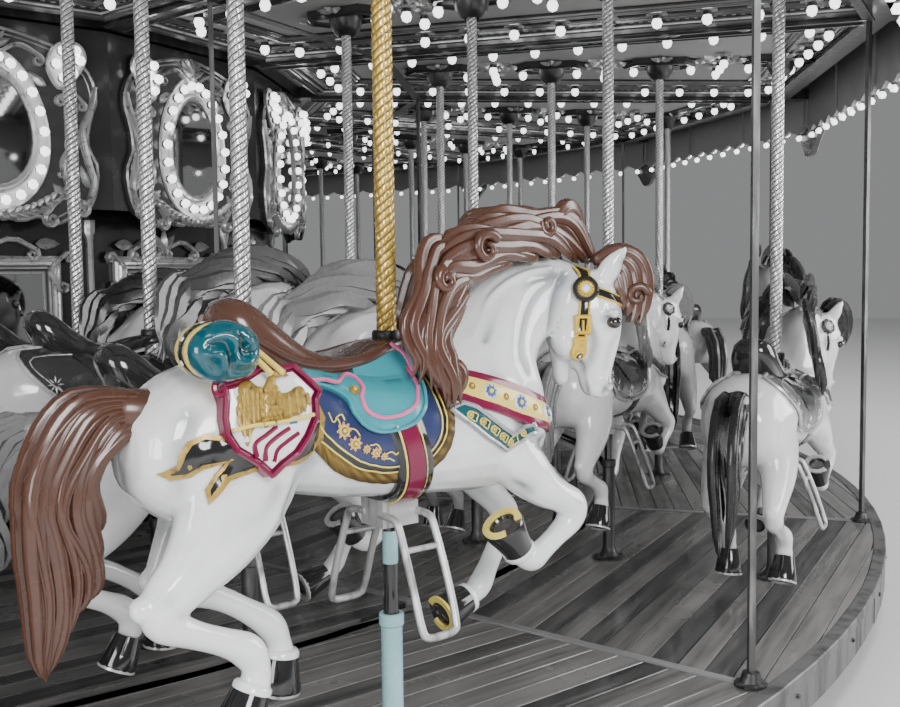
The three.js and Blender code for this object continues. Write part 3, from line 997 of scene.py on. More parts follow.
@dataclass
class Deck:
    """One ring of planks with its seam strips, rim and pole sleeves."""

    name: str
    inner: float
    outer: float
    rows: tuple[int, ...]
    plank: float = 0.092
    gap: float = 0.003
    strip: float = 0.045
    depth: float = 0.022
    edge: float = 0.045
    skirt: float = 0.14
    seed: int = 4

    # A pole's fixed lower tube: radius and height above the deck
    SLEEVE = rows(2, 72, 0, 72, 8, 45, 14, 34, 30, 30, 40, 26.5, 50, 26.5, 405, 31, 410, 31, 434, 28, 438, 20.2, 438,
                  20.2, 20)

    def planks(self) -> Draft:
        """The planks of all sectors, each with its own grain and tone.

        Returns:
            The draft.
        """
        draft, chance = Draft(), random.Random(self.seed)
        slope = math.tan(HALF_SECTOR)
        last = self.outer - self.edge
        for rank in range(SECTORS):
            place = turn(2, rank_angle(rank)) @ shift(z=DECK_TOP - self.depth)
            near = self.inner * math.cos(HALF_SECTOR) + 0.05
            while near < last - 0.01:
                far = min(near + self.plank - self.gap, last)
                outline = self.outline(near, far, last, slope)
                if len(outline) > 3:
                    board = slab(outline, self.depth, Paint.PLANK, 0.0025)
                    x, y = board.points[0][:, :2].T
                    board.marks = [np.column_stack([y + chance.uniform(0, 40), x + chance.uniform(0, 9),
                                                    np.full(len(x), chance.random())])]
                    draft.join(board, place)
                near += self.plank
        return draft

    def outline(self, near: float, far: float, last: float, slope: float) -> list[Point]:
        """The corners of one plank between its seams and inside the ring.

        Args:
            near: The plank's inner edge, from the turning axis.
            far: Its outer edge.
            last: Radius where the planks end.
            slope: Half a sector's width at a distance of 1.

        Returns:
            Its corners, counter-clockwise, or none where there is no room.
        """
        half = [d * slope - self.strip / 2 for d in (near, far)]
        reach = [math.sqrt(max(last**2 - d**2, 0.0)) for d in (near, far)]
        low = [math.sqrt(max(self.inner**2 - d**2, 0.0)) for d in (near, far)]
        a, b = min(half[0], reach[0]), min(half[1], reach[1])
        if a < 0.03 or low[0] > 0.02:
            return [] if a < 0.03 else [(near, -a), (far, -b), (far, b), (near, a)]
        if b < reach[1] - 1e-6 or b < 0.03:
            return [(near, -a), (far, -max(b, 0.001)), (far, max(b, 0.001)), (near, a)]
        arc = [(min(math.sqrt(last**2 - y**2), far), y) for y in np.linspace(-a, a, 9)]
        return [(near, -a), *arc, (near, a)]

    def build(self) -> None:
        """Makes the ring."""
        draft = self.planks()
        base = DECK_TOP - self.depth - 0.004
        draft.join(lathe([(self.inner, base - 0.03), (self.outer - 0.02, base - 0.03), (self.outer - 0.02, base),
                          (self.inner, base)], 64, Paint.DARK, True))
        joist = box((self.inner + 0.02, -0.03, base - 0.1), (self.outer - 0.05, 0.03, base - 0.02), Paint.STEEL)
        seam_and_crossing_shade = box((self.inner + 0.03, -self.strip / 2 + 0.003, base), (self.outer - 0.05, self.strip / 2 - 0.003,
                                                                       DECK_TOP + 0.004), Paint.SEAM, 0.003)
        draft.join(seam_and_crossing_shade, *SEAMS).join(joist, *SEAMS)
        edge = [(self.inner, DECK_TOP - 0.05), (self.inner + 0.05, DECK_TOP - 0.05), (self.inner + 0.05, DECK_TOP),
                (self.inner, DECK_TOP)]
        draft.join(lathe(edge, 64, Paint.SEAM, True))
        if self.outer == DECK_RADIUS:
            self.rim(draft)
        flange = lathe(rows(2, 14, 0, 50, 0, 50, 7, 34, 12, 26, 40, 14, 44), 12, Paint.BOLT)
        ring = OUTER_RODS if self.outer == DECK_RADIUS else INNER_RODS
        draft.join(flange, *[matrix @ shift(ring, 0, DECK_TOP + 0.003) for matrix in SEAMS])
        self.sleeves(draft)
        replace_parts(draft.piece(self.name, "turntable", "deck_wood", 30), self.name.removesuffix("_planks"))

    def rim(self, draft: Draft) -> None:
        """Adds the overlapping skirt plates with their bolts.

        Args:
            draft: The draft that it adds to.
        """
        out, top = self.outer, DECK_TOP + 0.004
        draft.join(lathe([(out - 0.055, top - 0.03), (out, top - 0.03), (out, top - 0.004), (out - 0.004, top),
                          (out - 0.05, top), (out - 0.055, top - 0.004)], 128, Paint.SKIRT, True))
        profile = np.array([(out - 0.014, top - 0.03), (out - 0.006, top - 0.03), (out - 0.006, top - self.skirt),
                            (out - 0.02, top - self.skirt)])
        for i in range(2 * SECTORS):
            angles = np.linspace(i, i + 1.04, 6) * HALF_SECTOR
            lift = 0.003 * (i % 2)
            rings = np.array([[((r + lift) * math.cos(a), (r + lift) * math.sin(a), z) for r, z in profile]
                              for a in angles])
            draft.join(skin(rings, Paint.SKIRT))
        bolt = lathe(rows(2, 9, 0, 9, 4, 5, 7, 0, 8), 6, Paint.BOLT)
        for i in range(4 * SECTORS):
            way = turn(2, (i + 0.25) * HALF_SECTOR / 2)
            draft.join(bolt, way @ shift(out - 0.004, 0, top - 0.065) @ turn(1, math.pi / 2))

    def sleeves(self, draft: Draft) -> None:
        """Adds the fixed lower tube and flange of each pole.

        Args:
            draft: The draft that it adds to.
        """
        z = DECK_TOP
        bolt = lathe(rows(2, 7, 0, 7, 5, 0, 7), 6, Paint.BOLT)
        for rank in HORSE_RANKS:
            for row in self.rows:
                paint = Paint.TUBE_BLUE if (rank, row) == (FRONT_RANK, 0) else Paint.TUBE
                place = turn(2, rank_angle(rank)) @ shift(ROW_RADII[row])
                draft.join(lathe(self.SLEEVE + (0, z), 16, paint), place)
                draft.join(bolt, *[place @ turn(2, a) @ shift(0.058, 0, z + 0.01) for a in (0.8, 2.4, 3.9, 5.5)])


@dataclass
class Bulbs:
    """Turned lamps: round ones for boards and tulip-shaped caps for the ceiling."""

    radius: float = 0.026

    def globe(self, detail: int = 7) -> Draft:
        """A round bulb on a small cup, looking along z.

        Args:
            detail: Points round it.

        Returns:
            The draft.
        """
        r = self.radius
        draft = lathe([(r * 0.9, 0), (r * 0.62, r * 0.45)], detail, Paint.SOCKET)
        return draft.join(lathe([(r * 0.55, r * 0.35), (r, r * 1.05), (r * 0.72, r * 1.8), (0, r * 2.05)], detail,
                                Paint.BULB))

    def tulip(self, detail: int = 7) -> Draft:
        """A hanging cap on a pointed rosette, looking down along -z.

        Args:
            detail: Points round it.

        Returns:
            The draft.
        """
        r = self.radius
        rosette = circle(2 * detail) * (r * np.where(np.arange(2 * detail) % 2, 1.2, 2.0))[:, None]
        draft = Draft().join(slab(rosette, r * 0.35, Paint.RELIEF), turn(0, math.pi))
        draft.join(lathe([(r * 0.75, -r * 0.3), (r * 1.0, -r * 1.05)], detail, Paint.SOCKET))
        return draft.join(lathe([(r * 0.7, -r * 1.0), (r * 1.0, -r * 1.7), (r * 0.72, -r * 2.5), (0, -r * 2.85)],
                                detail, Paint.BULB))


def ridged(outline: Array, rise: float, finish: Finish, folds: int = 3) -> Draft:
    """A carved acanthus leaf along x with its lobes from an outline of half widths.

    Args:
        outline: Rows of (along, half width).
        rise: How high its spine stands.
        finish: Its finish.
        folds: Lobes along each edge.

    Returns:
        The draft, with its back at z = 0.
    """
    along = np.linspace(0, 1, 3 * folds + 1)
    station = np.interp(along, np.linspace(0, 1, len(outline)), outline[:, 0])
    half = np.interp(along, np.linspace(0, 1, len(outline)), outline[:, 1])
    half = half * (0.8 + 0.2 * np.abs(np.sin(along * folds * math.pi)))
    crest = rise * (0.35 + 0.65 * np.sin(np.pi * np.clip(along * 0.9 + 0.08, 0, 1)))
    rings = [[(x, -w, 0), (x, -w * 0.6, c * 0.5), (x, 0, c), (x, w * 0.6, c * 0.5), (x, w, 0)]
             for x, w, c in zip(station, half, crest)]
    return skin(np.array(rings), finish)


def leaf(length: float, width: float, rise: float, finish: Finish, folds: int = 3) -> Draft:
    """A carved leaf along x from the origin."""
    outline = np.array([(0, 0.25), (0.2, 0.8), (0.45, 1.0), (0.75, 0.7), (1.0, 0.06)]) * (length, width / 2)
    return ridged(outline, rise, finish, folds)


def volute(points: Array, width: float, rise: float, finish: Finish, taper: float = 0.35) -> Draft:
    """A carved scroll band along a plane curve, thinner towards its two ends.

    Args:
        points: The curve (n, 2).
        width: The band's width in the middle.
        rise: Its height there.
        finish: Its finish.
        taper: The share of the width that its ends keep.

    Returns:
        The draft.
    """
    count = len(points)
    size = taper + (1 - taper) * np.sin(np.linspace(0.05, math.pi - 0.05, count))
    section = np.array([(-0.5, 0), (-0.36, 0.85), (0, 0.45), (0.36, 0.85), (0.5, 0)])
    return sweep(points, section, finish, np.column_stack([size * width, 0.4 * rise + 0.6 * rise * size]))


def scrolls(bands: Array, rise: float = 0.0) -> Draft:
    """Carved C-scrolls in the plane z = 0.

    Args:
        bands: Rows of start x, y, end x, y, bow, curl and width.
        rise: How high they all stand, or nothing for 0.9 of their width.

    Returns:
        The draft.
    """
    draft = Draft()
    for band in bands:
        line = scroll(band[:2], band[2:4], band[4], band[5])
        draft.join(volute(line, band[6], rise or band[6] * 0.9, Paint.RELIEF))
    return draft


def placed(z: float, *places: Point) -> list[Array]:
    """Frames in a plane at a height, from (x, y, angle)."""
    return [shift(x, y, z) @ turn(2, angle) for x, y, angle in places]


@dataclass
class Ceiling:
    """Mouldings, dentils, rosettes, lamps and pole bezels under the ceiling panels."""

    near: float = 2.92
    far: float = 6.14
    panel: float = BEAM_BOTTOM + BEAM_HEIGHT
    lamp: Bulbs = field(default_factory=lambda: Bulbs(0.027))
    near_ranks: tuple[int, ...] = (14, 15, 0, 1, 2)

    # Section of the stepped frames, for a width and a drop of 1
    STEPS = np.array([(0, 0), (0, 1), (0.25, 1), (0.3, 0.7), (0.6, 0.65), (0.65, 0.35), (1, 0.3), (1, 0)])

    def outline(self, inset: float, margin: float) -> Array:
        """A sector's outline, so far inside the ceiling's two rims and from the seams."""
        return wedge(self.near + inset, self.far - inset, margin)

    def sector(self, fine: bool) -> Draft:
        """What hangs in one sector, upside down: z is how far it hangs.

        Args:
            fine: Whether the viewer comes close to it.

        Returns:
            The draft.
        """
        draft = Draft()
        for inset, margin, width, drop, paint in ((0, 0.075, 0.05, 0.062, Paint.DARK),
                                                  (0.05, 0.125, 0.035, 0.045, Paint.RELIEF),
                                                  (0.11, 0.185, 0.03, 0.032, Paint.DARK),
                                                  (0.30, 0.34, 0.05, 0.03, Paint.DARK)):
            draft.join(moulding(self.outline(inset, margin), self.STEPS * (width, drop), paint))
        if fine:
            tooth = box((-0.009, -0.011, 0), (0.009, 0.011, 0.03), Paint.RELIEF)
            self.along(draft, self.outline(0.088, 0.163), tooth, 0.045)
            self.along(draft, self.outline(0.235, 0.275), leaf(0.11, 0.055, 0.014, Paint.RELIEF, 2), 0.15)
        lamp = self.lamp.tulip(7 if fine else 4).moved(turn(0, math.pi))
        self.along(draft, self.outline(0.20, 0.24), lamp.moved(shift(z=0.01)), 0.235)
        draft.join(self.bezel(fine), *[shift(radius) for radius in ROW_RADII])
        for near, far in zip(ROW_RADII[1:], ROW_RADII[:-1]):
            self.medallion(draft, (near + far) / 2, fine)
        return draft

    def along(self, draft: Draft, corners: Array, item: Draft, step: float) -> None:
        """Repeats an item along an outline.

        Args:
            draft: The draft that it adds to.
            corners: The outline (n, 2).
            item: What it repeats, along x.
            step: The distance between two, about.
        """
        for a, b in zip(corners, np.roll(corners, -1, axis=0)):
            way = b - a
            length = float(np.linalg.norm(way))
            count = max(1, round(length / step))
            angle = math.atan2(way[1], way[0])
            draft.join(item, *[shift(*(a + way * (i + 0.5) / count)) @ turn(2, angle) for i in range(count)])

    def bezel(self, fine: bool) -> Draft:
        """The oblong frame that a pole runs through.

        Args:
            fine: Whether the viewer comes close to it.

        Returns:
            The draft.
        """
        hexagon = rows(2, -200, 0, -130, -100, 130, -100, 200, 0, 130, 100, -130, 100)
        section = rows(2, 0, 0, 0, 30, 12, 42, 28, 42, 34, 22, 50, 16, 50, 0)
        draft = moulding(hexagon * 1.12, section, Paint.DARK)
        draft.join(moulding(hexagon * 0.9, rows(2, 0, 0, 0, 20, 12, 24, 20, 12, 20, 0), Paint.CREAM))
        sprig = leaf(0.075, 0.055, 0.02, Paint.RELIEF, 2)
        places = ((0, 0.20), (math.pi, 0.20), (math.pi / 2, 0.105), (-math.pi / 2, 0.105)) if fine else ()
        for angle, reach in places:
            cluster = turn(2, angle) @ shift(reach, 0, 0.012)
            draft.join(sprig, *[cluster @ turn(2, lean) for lean in (0, 1.0, -1.0)])
        return draft

    def medallion(self, draft: Draft, radius: float, fine: bool) -> None:
        """Adds a lamp in a carved flower between two rows.

        Args:
            draft: The draft that it adds to.
            radius: Its place along the sector's middle.
            fine: Whether the viewer comes close to it.
        """
        sprig = leaf(0.12, 0.06, 0.022, Paint.RELIEF, 2 if fine else 1)
        middle = shift(radius)
        draft.join(sprig, *star(8, 0.03, middle))
        lamp = self.lamp.tulip(7 if fine else 4).moved(turn(0, math.pi) @ shift(z=-0.015))
        draft.join(lamp, middle, *star(4, 0.17, middle))

    def build(self) -> None:
        """Makes the ceiling's ornament in one piece, and the pole boots."""
        hang = stretch(1, 1, -1) @ shift(z=-self.panel)
        for fine in (True, False):
            ranks = [rank for rank in range(SECTORS) if (rank in self.near_ranks) == fine]
            draft = Draft().join(self.sector(fine).moved(hang), *around(*ranks))
            share = 0.95 if fine else 0.75
            draft.piece(f"ceiling_ornament_{1 if fine else 2}", "turntable", "ceiling_panel", 40, share)
        z = self.panel
        boot = lathe(rows(2, 85, -20, 75, -75, 50, -110, 36, -115, 34, 20, 85, 20) + (0, z), 12, Paint.STEEL, True)
        draft = Draft()
        draft.join(boot, *[matrix @ shift(radius) for matrix in around(*HORSE_RANKS) for radius in ROW_RADII])
        self.beams(draft)
        draft.piece("sweep_trim", "turntable", "sweep_steel", 40, 0.6)

    def beams(self, draft: Draft) -> None:
        """Adds the sweeps' lower mouldings and the inner ring's.

        Args:
            draft: The draft that it adds to.
        """
        z = BEAM_BOTTOM
        rail = box((self.near, 0.042, z - 0.012), (self.far, 0.058, z + 0.03), Paint.DARK, 0.003)
        draft.join(rail, *SEAMS, *[matrix @ stretch(1, -1, 1) for matrix in SEAMS])
        rosette = leaf(0.06, 0.035, 0.012, Paint.RELIEF, 2).moved(stretch(1, 1, -1) @ shift(z=-z))
        draft.join(rosette, *[matrix @ shift(radius) @ turn(2, angle) for matrix in SEAMS
                              for radius in np.arange(3.2, 6.0, 0.4) for angle in (0, math.pi)])


@dataclass
class UpperBoards:
    """The turning boards round the centre: mirrors, bulbs, crests, shields and scrolls."""

    bottom: float = DECK_TOP + 1.49
    top: float = BEAM_BOTTOM - 0.012
    radius: float = RING_RADIUS * math.cos(HALF_SECTOR)
    lamp: Bulbs = field(default_factory=lambda: Bulbs(0.025))
    near_ranks: tuple[int, ...] = (12, 13, 14, 15, 0, 1)

    def board(self) -> Draft:
        """The cream board with its scrolled outline, thin frame and dark backing.

        Returns:
            The draft.
        """
        half = self.radius * math.tan(HALF_SECTOR)
        tall = self.top - self.bottom
        draft = slab(oblong(-half, 0.10, half, tall), -0.012, Paint.NIGHT, 0.0, -0.04)
        right = rows(2, 0, 75, 100, 30, 200, 55, 280, 20, 360, 60, 430, 90, 470, 170, 485, 300, 440, 400, 455, 520,
                     490, 630, 460, 740, 400, 800, 330, 845, 220, 880, 110, 905)
        outline = mirrored(right, (0, 0.915), 72)
        draft.join(slab(outline, 0.010, Paint.BOARD, 0.006, -0.02))
        for size, radius in ((0.985, 0.008), (0.93, 0.004)):
            draft.join(bead(outline * size + (0, 0.48 * (1 - size)), 0.011, radius, Paint.RELIEF))
        return draft.join(slab(self.oval(36, 1.46), 0.016, Paint.CREAM, 0.005))

    def oval(self, count: int = 40, scale: float = 1.0) -> Array:
        """The egg-shaped line of the mirror, larger at the bottom.

        Args:
            count: Its points.
            scale: Its size, 1 for the mirror itself.

        Returns:
            Points (count, 2).
        """
        angle = np.linspace(0, 2 * math.pi, count, endpoint=False)
        x = 0.170 * np.cos(angle) * (1 - 0.13 * np.sin(angle))
        y = 0.250 * np.sin(angle)
        return np.column_stack([x, y]) * scale + (0, 0.45)

    def centre(self, fine: bool) -> Draft:
        """The mirror with its ring of bulbs, the crest above and the garland below.

        Args:
            fine: Whether the viewer comes close to it.

        Returns:
            The draft.
        """
        draft = slab(self.oval(30), 0.021, Paint.MIRROR, 0.004)
        for scale, rise, size in ((1.06, 0.024, 0.013), (1.14, 0.016, 0.007), (1.46, 0.014, 0.008)):
            draft.join(bead(self.oval(36, scale), rise, size, Paint.RELIEF, 5))
        draft.join(self.lamp.globe(7 if fine else 4), *[shift(x, y, 0.014) for x, y in self.oval(22, 1.30)])
        if not fine:
            return draft
        petal = leaf(0.105, 0.042, 0.026, Paint.RELIEF, 2)
        leans = (-1.1, -0.7, -0.35, 0, 0.35, 0.7, 1.1)
        draft.join(petal, *placed(0.012, *[(0, 0.815, math.pi / 2 + lean) for lean in leans]))
        draft.join(ball(0.022, Paint.RELIEF), shift(0, 0.815, 0.02))
        curl = scrolls(rows(7, 30, 790, 220, 800, 45, 26, 22), 0.024)
        draft.join(curl, *[half @ shift(z=0.01) for half in BOTH_HALVES])
        line = curve(rows(2, -280, 150, -150, 85, 0, 65, 150, 85, 280, 150), 17)
        sprig = leaf(0.055, 0.042, 0.026, Paint.RELIEF, 2)
        for a, b in zip(line[:-1], line[1:]):
            angle = math.atan2(b[1] - a[1], b[0] - a[0])
            draft.join(sprig, *placed(0.012, (*a, angle + 0.5), (*a, angle - 0.5)))
        return draft.join(ball(0.024, Paint.RELIEF), shift(0, 0.065, 0.022))

    def sides(self, fine: bool) -> Draft:
        """The corner shields with bulbs, the side frames, the large scrolls and the volutes, on the right.

        Args:
            fine: Whether the viewer comes close to it.

        Returns:
            The draft.
        """
        draft = Draft()
        plate = curve(rows(2, 300, 660, 370, 700, 430, 800, 400, 870, 300, 860, 250, 760), 24, True)
        draft.join(slab(plate, 0.026, Paint.CREAM, 0.008, 0.005))
        draft.join(bead(plate, 0.02, 0.009, Paint.RELIEF, 6))
        middle = plate.mean(0)
        lamps = middle + (curve(plate[::4], 6, True) - middle) * 0.62
        draft.join(self.lamp.globe(7 if fine else 4), *[shift(x, y, 0.026) for x, y in (middle, *lamps)])
        if not fine:
            return draft
        band = rows(2, 415, 120, 455, 220, 425, 340, 405, 460, 450, 580, 475, 680)
        draft.join(volute(curve(band, 24), 0.034, 0.03, Paint.RELIEF, 0.6), shift(z=0.008))
        draft.join(scrolls(rows(7, 400, 130, 220, 70, -50, 36, 30, 330, 200, 385, 420, 50, 26, 26,
                                420, 600, 300, 620, -30, 22, 22, 320, 260, 300, 175, 20, 18, 18)), shift(z=0.01))
        return draft.join(leaf(0.11, 0.05, 0.024, Paint.RELIEF, 2),
                          *placed(0.011, (0.35, 0.50, 1.2), (0.37, 0.32, 2.0), (0.34, 0.10, 0.3), (0.34, 0.14, 2.4),
                                 (0.43, 0.20, 1.9), (0.245, 0.665, 2.6)))

    def build(self) -> None:
        """Makes the boards of all sectors in two pieces."""
        for fine in (True, False):
            board = self.board().join(self.centre(fine)).join(self.sides(fine), *BOTH_HALVES)
            ranks = [rank for rank in range(SECTORS) if (rank in self.near_ranks) == fine]
            draft = Draft().join(board, *outward(around(*ranks), self.radius, self.bottom))
            piece = draft.piece(f"upper_board_carving_{1 if fine else 2}", "turntable", "upper_board", 38,
                                0.85 if fine else 0.65)
            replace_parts(piece, "upper_boards")


@dataclass
class RoundingBoards:
    """The boards at the rim: plain seamed backs inside, framed fronts outside, lamps and shields."""

    inner: float = 6.41
    outer: float = 6.45
    bottom: float = DECK_TOP + 2.23
    top: float = 3.18
    scallops: int = 12
    lamp: Bulbs = field(default_factory=lambda: Bulbs(0.024))

    def sector(self) -> Draft:
        """One board; x along the ride, y up from its lower edge, z outwards from its back.

        Returns:
            The draft.
        """
        face = self.inner * math.cos(HALF_SECTOR)
        half = face * math.tan(HALF_SECTOR) - 0.003
        tall = self.top - self.bottom
        wave = [(x, 0.035 - 0.035 * abs(math.sin((x / half + 1) / 2 * math.pi * self.scallops)))
                for x in np.linspace(-half, half, 4 * self.scallops + 1)]
        draft = slab([*wave, (half, tall), (-half, tall)], 0.026, Paint.BACK)
        batten = box((-0.018, 0.05, -0.016), (0.018, tall - 0.01, 0), Paint.BACK, 0.002)
        draft.join(batten, *[shift(x) for x in (-half + 0.03, -half / 3, half / 3, half - 0.03)])
        draft.join(box((-half, tall * 0.55, -0.014), (half, tall * 0.55 + 0.04, 0), Paint.BACK, 0.002))
        globe = self.lamp.globe(5)
        lobes = [(i + 0.5) / self.scallops * 2 * half - half for i in range(self.scallops)]
        draft.join(globe, *[shift(x, 0.028, 0.026) for x in lobes])
        draft.join(globe, *[shift(x, 0.0, 0.013) @ turn(0, math.pi / 2) for x in lobes])
        self.front(draft, half, tall)
        return draft

    def front(self, draft: Draft, half: float, tall: float) -> None:
        """Adds the framed panel, its scrolls and its lamps on the outer side.

        Args:
            draft: The draft that it adds to.
            half: Half the board's width.
            tall: Its height.
        """
        edge = oblong(-half + 0.16, 0.09, half - 0.16, tall - 0.04)
        section = rows(2, 0, 20, 0, 45, 15, 55, 30, 45, 50, 50, 60, 34, 60, 20)
        draft.join(moulding(edge, section, Paint.RELIEF))
        draft.join(slab(oblong(-half + 0.2, 0.12, half - 0.2, tall - 0.08), 0.03, Paint.CREAM, 0.003, 0.02))
        middle = tall / 2
        oval = circle(24, 0.21, 0.15) + (0, middle)
        draft.join(slab(oval, 0.042, Paint.MIRROR, 0.006, 0.02))
        draft.join(bead(oval, 0.04, 0.014, Paint.RELIEF, 5))
        bands = rows(7, 300, -120, 620, 20, 90, 55, 40, 320, 160, 600, 120, -50, 35, 30,
                     660, -140, 940, 40, 80, 50, 35) + (0, middle, 0, middle, 0, 0, 0)
        curls = scrolls(bands, 0.03).moved(shift(z=0.028))
        curls.join(leaf(0.14, 0.07, 0.026, Paint.RELIEF, 2),
                   *placed(0.029, (0.26, middle, 0.2), (0.48, middle - 0.02, 0.9), (0.80, middle - 0.04, 0.5),
                          (0.90, middle + 0.14, 2.4)))
        draft.join(curls, *BOTH_HALVES)
        lamps = np.linspace(-half + 0.2, half - 0.2, 12)
        draft.join(self.lamp.globe(5), *[shift(x, tall - 0.02, 0.022) for x in lamps])

    def shield(self) -> Draft:
        """The plate that covers a joint: x along the ride, y up, z outwards.

        Returns:
            The draft.
        """
        drop = self.bottom - (DECK_TOP + 2.06)
        tall = self.top - self.bottom + 0.04
        right = [(0, -drop), (0.05, -drop + 0.02), (0.10, -drop + 0.085), (0.165, -drop + 0.15), (0.17, -drop + 0.26),
                 (0.125, -drop + 0.33), (0.14, 0.35), (0.12, 0.5), (0.15, tall - 0.1), (0.09, tall - 0.02)]
        outline = mirrored(right, (0, tall), 40)
        draft = slab(outline, 0.05, Paint.NIGHT, 0.012, 0.002)
        draft.join(bead(outline * (0.9, 0.96) + (0, 0.02), 0.05, 0.01, Paint.RELIEF))
        draft.join(leaf(0.17, 0.09, 0.03, Paint.RELIEF, 2),
                   *placed(0.045, *[(0, y, angle + lean) for y in (0.16, 0.50) for angle in (math.pi / 2, -math.pi / 2)
                                   for lean in (-0.6, 0, 0.6)]))
        draft.join(ball(0.04, Paint.JEWEL, 12, 7, 0.6), shift(0, 0.16, 0.06), shift(0, 0.50, 0.06))
        draft.join(self.lamp.globe(), shift(0, 0.33, 0.05), shift(0, -0.05, 0.05))
        return draft

    def build(self) -> None:
        """Makes all boards and shields."""
        draft = Draft()
        draft.join(self.sector(), *outward(around(), self.inner * math.cos(HALF_SECTOR), self.bottom))
        draft.join(self.shield(), *outward(SEAMS, self.inner + 0.008, self.bottom))
        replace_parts(draft.piece("rounding_board_panels", "turntable", "rounding_board", 38, 0.5), "rounding_boards")


@dataclass
class Roof:
    """Sixteen sheets between ribs, with a turned finial."""

    eave: float = 6.40
    low: float = 3.11
    high: float = 4.2
    apex: float = 0.38

    def build(self) -> None:
        """Makes the roof."""
        draft = Draft()
        slope = (self.high - self.low) / (self.eave - self.apex)
        rings = []
        for s in np.linspace(0, 1, 9):
            radius = self.eave + (self.apex - self.eave) * s
            z = self.low + 0.026 + (self.eave - radius) * slope
            half = math.tan(HALF_SECTOR) * radius * math.cos(HALF_SECTOR)
            front = radius * math.cos(HALF_SECTOR)
            dip = 0.03 * math.sin(math.pi * s) * (radius / self.eave)
            rings.append([(front, y * half, z - dip * (1 - y * y)) for y in np.linspace(-1, 1, 7)]
                         + [(front, y * half, z - 0.02) for y in np.linspace(1, -1, 3)])
        draft.join(skin(np.array(rings), Paint.ROOF), *around())
        line = np.array([(self.eave - 0.02, 0, self.low + 0.022), (self.apex, 0, self.high + 0.022)])
        rib = sweep(line, rows(2, -22, -30, 22, -30, 22, 8, 10, 16, -10, 16, -22, 8), Paint.BACK)
        draft.join(rib, *SEAMS)
        z = self.high
        finial = rows(2, 400, -10, 440, 20, 400, 50, 200, 60, 130, 80, 70, 120, 90, 200, 150, 280, 120, 360, 55, 430,
                      35, 500, 50, 540, 20, 600, 0, 790)
        draft.join(lathe(finial + (0, z), 24, Paint.TRIM))
        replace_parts(draft.piece("roof_sheets", "turntable", "roof_skin", 30), "roof")


@dataclass
class Housing:
    """Framed mirrors on the still centre housing below the turning boards."""

    radius: float = 2.62
    half: float = 0.36
    sill: float = 0.5
    head: float = 1.62
    skirting: tuple[float, float] = (0.02, 0.20)
    rail: tuple[float, float] = (1.80, 1.88)

    def panel(self) -> Draft:
        """One framed mirror: x along the wall, y up, z out.

        Returns:
            The draft.
        """
        half, low, high = self.half, self.sill, self.head
        edge = oblong(-half, low, half, high)
        section = rows(2, 0, 0, 0, 20, 12, 30, 22, 22, 30, 34, 42, 36, 52, 24, 62, 26, 70, 12, 85, 10, 85, 0)
        draft = moulding(edge, section, Paint.RELIEF)
        draft.join(slab(edge * (0.8, 1), 0.008, Paint.MIRROR, 0.003))
        pearl, middle = ball(0.011, Paint.RELIEF, 4, 2), np.array([0, (low + high) / 2])
        for a, b in zip(edge, np.roll(edge, -1, axis=0)):
            count = int(np.linalg.norm(b - a) / 0.045)
            places = [middle + (a + (b - a) * i / count - middle) * 0.93 for i in range(count)]
            draft.join(pearl, *[shift(x, y, 0.032) for x, y in places])
        crest = scrolls([(0.02, high + 0.05, 0.24, high + 0.035, 0.04, 0.032, 0.03)], 0.03)
        corner = scrolls([(half - 0.02, high - 0.16, half + 0.02, high + 0.01, 0.05, 0.028, 0.026)], 0.03)
        sprig = leaf(0.12, 0.06, 0.026, Paint.RELIEF, 3)
        side = Draft().join(crest, shift(z=0.012)).join(corner, shift(z=0.02))
        side.join(sprig, shift(half - 0.02, low + 0.04, 0.03) @ turn(2, 1.9), shift(0.24, high + 0.06, 0.02))
        draft.join(side, *BOTH_HALVES)
        draft.join(sprig, *[shift(0, high + 0.03, 0.02) @ turn(2, math.pi / 2 + a) for a in (-0.7, 0, 0.7)])
        return draft

    def build(self) -> None:
        """Makes the panels, the pilasters and the plinth."""
        face = self.radius * math.cos(HALF_SECTOR) + 0.002
        walls, half = outward(around(), face), face * math.tan(HALF_SECTOR)
        draft = Draft().join(self.panel(), *walls)
        (low, high), (under, over) = self.skirting, self.rail
        skirting = slab(oblong(-half, low, half, high), 0.02, Paint.DARK, 0.008)
        rail = slab(oblong(-half, under, half, over), 0.018, Paint.DARK, 0.007)
        draft.join(skirting.join(rail), *walls)
        post = lathe(rows(2, 30, 200, 30, 260, 18, 300, 18, 1700, 30, 1740, 30, 1800), 10, Paint.RELIEF)
        draft.join(post, *[matrix @ shift(self.radius + 0.006) for matrix in SEAMS])
        draft.piece("housing_mirrors", "base", "housing_panel", 35, 0.5)


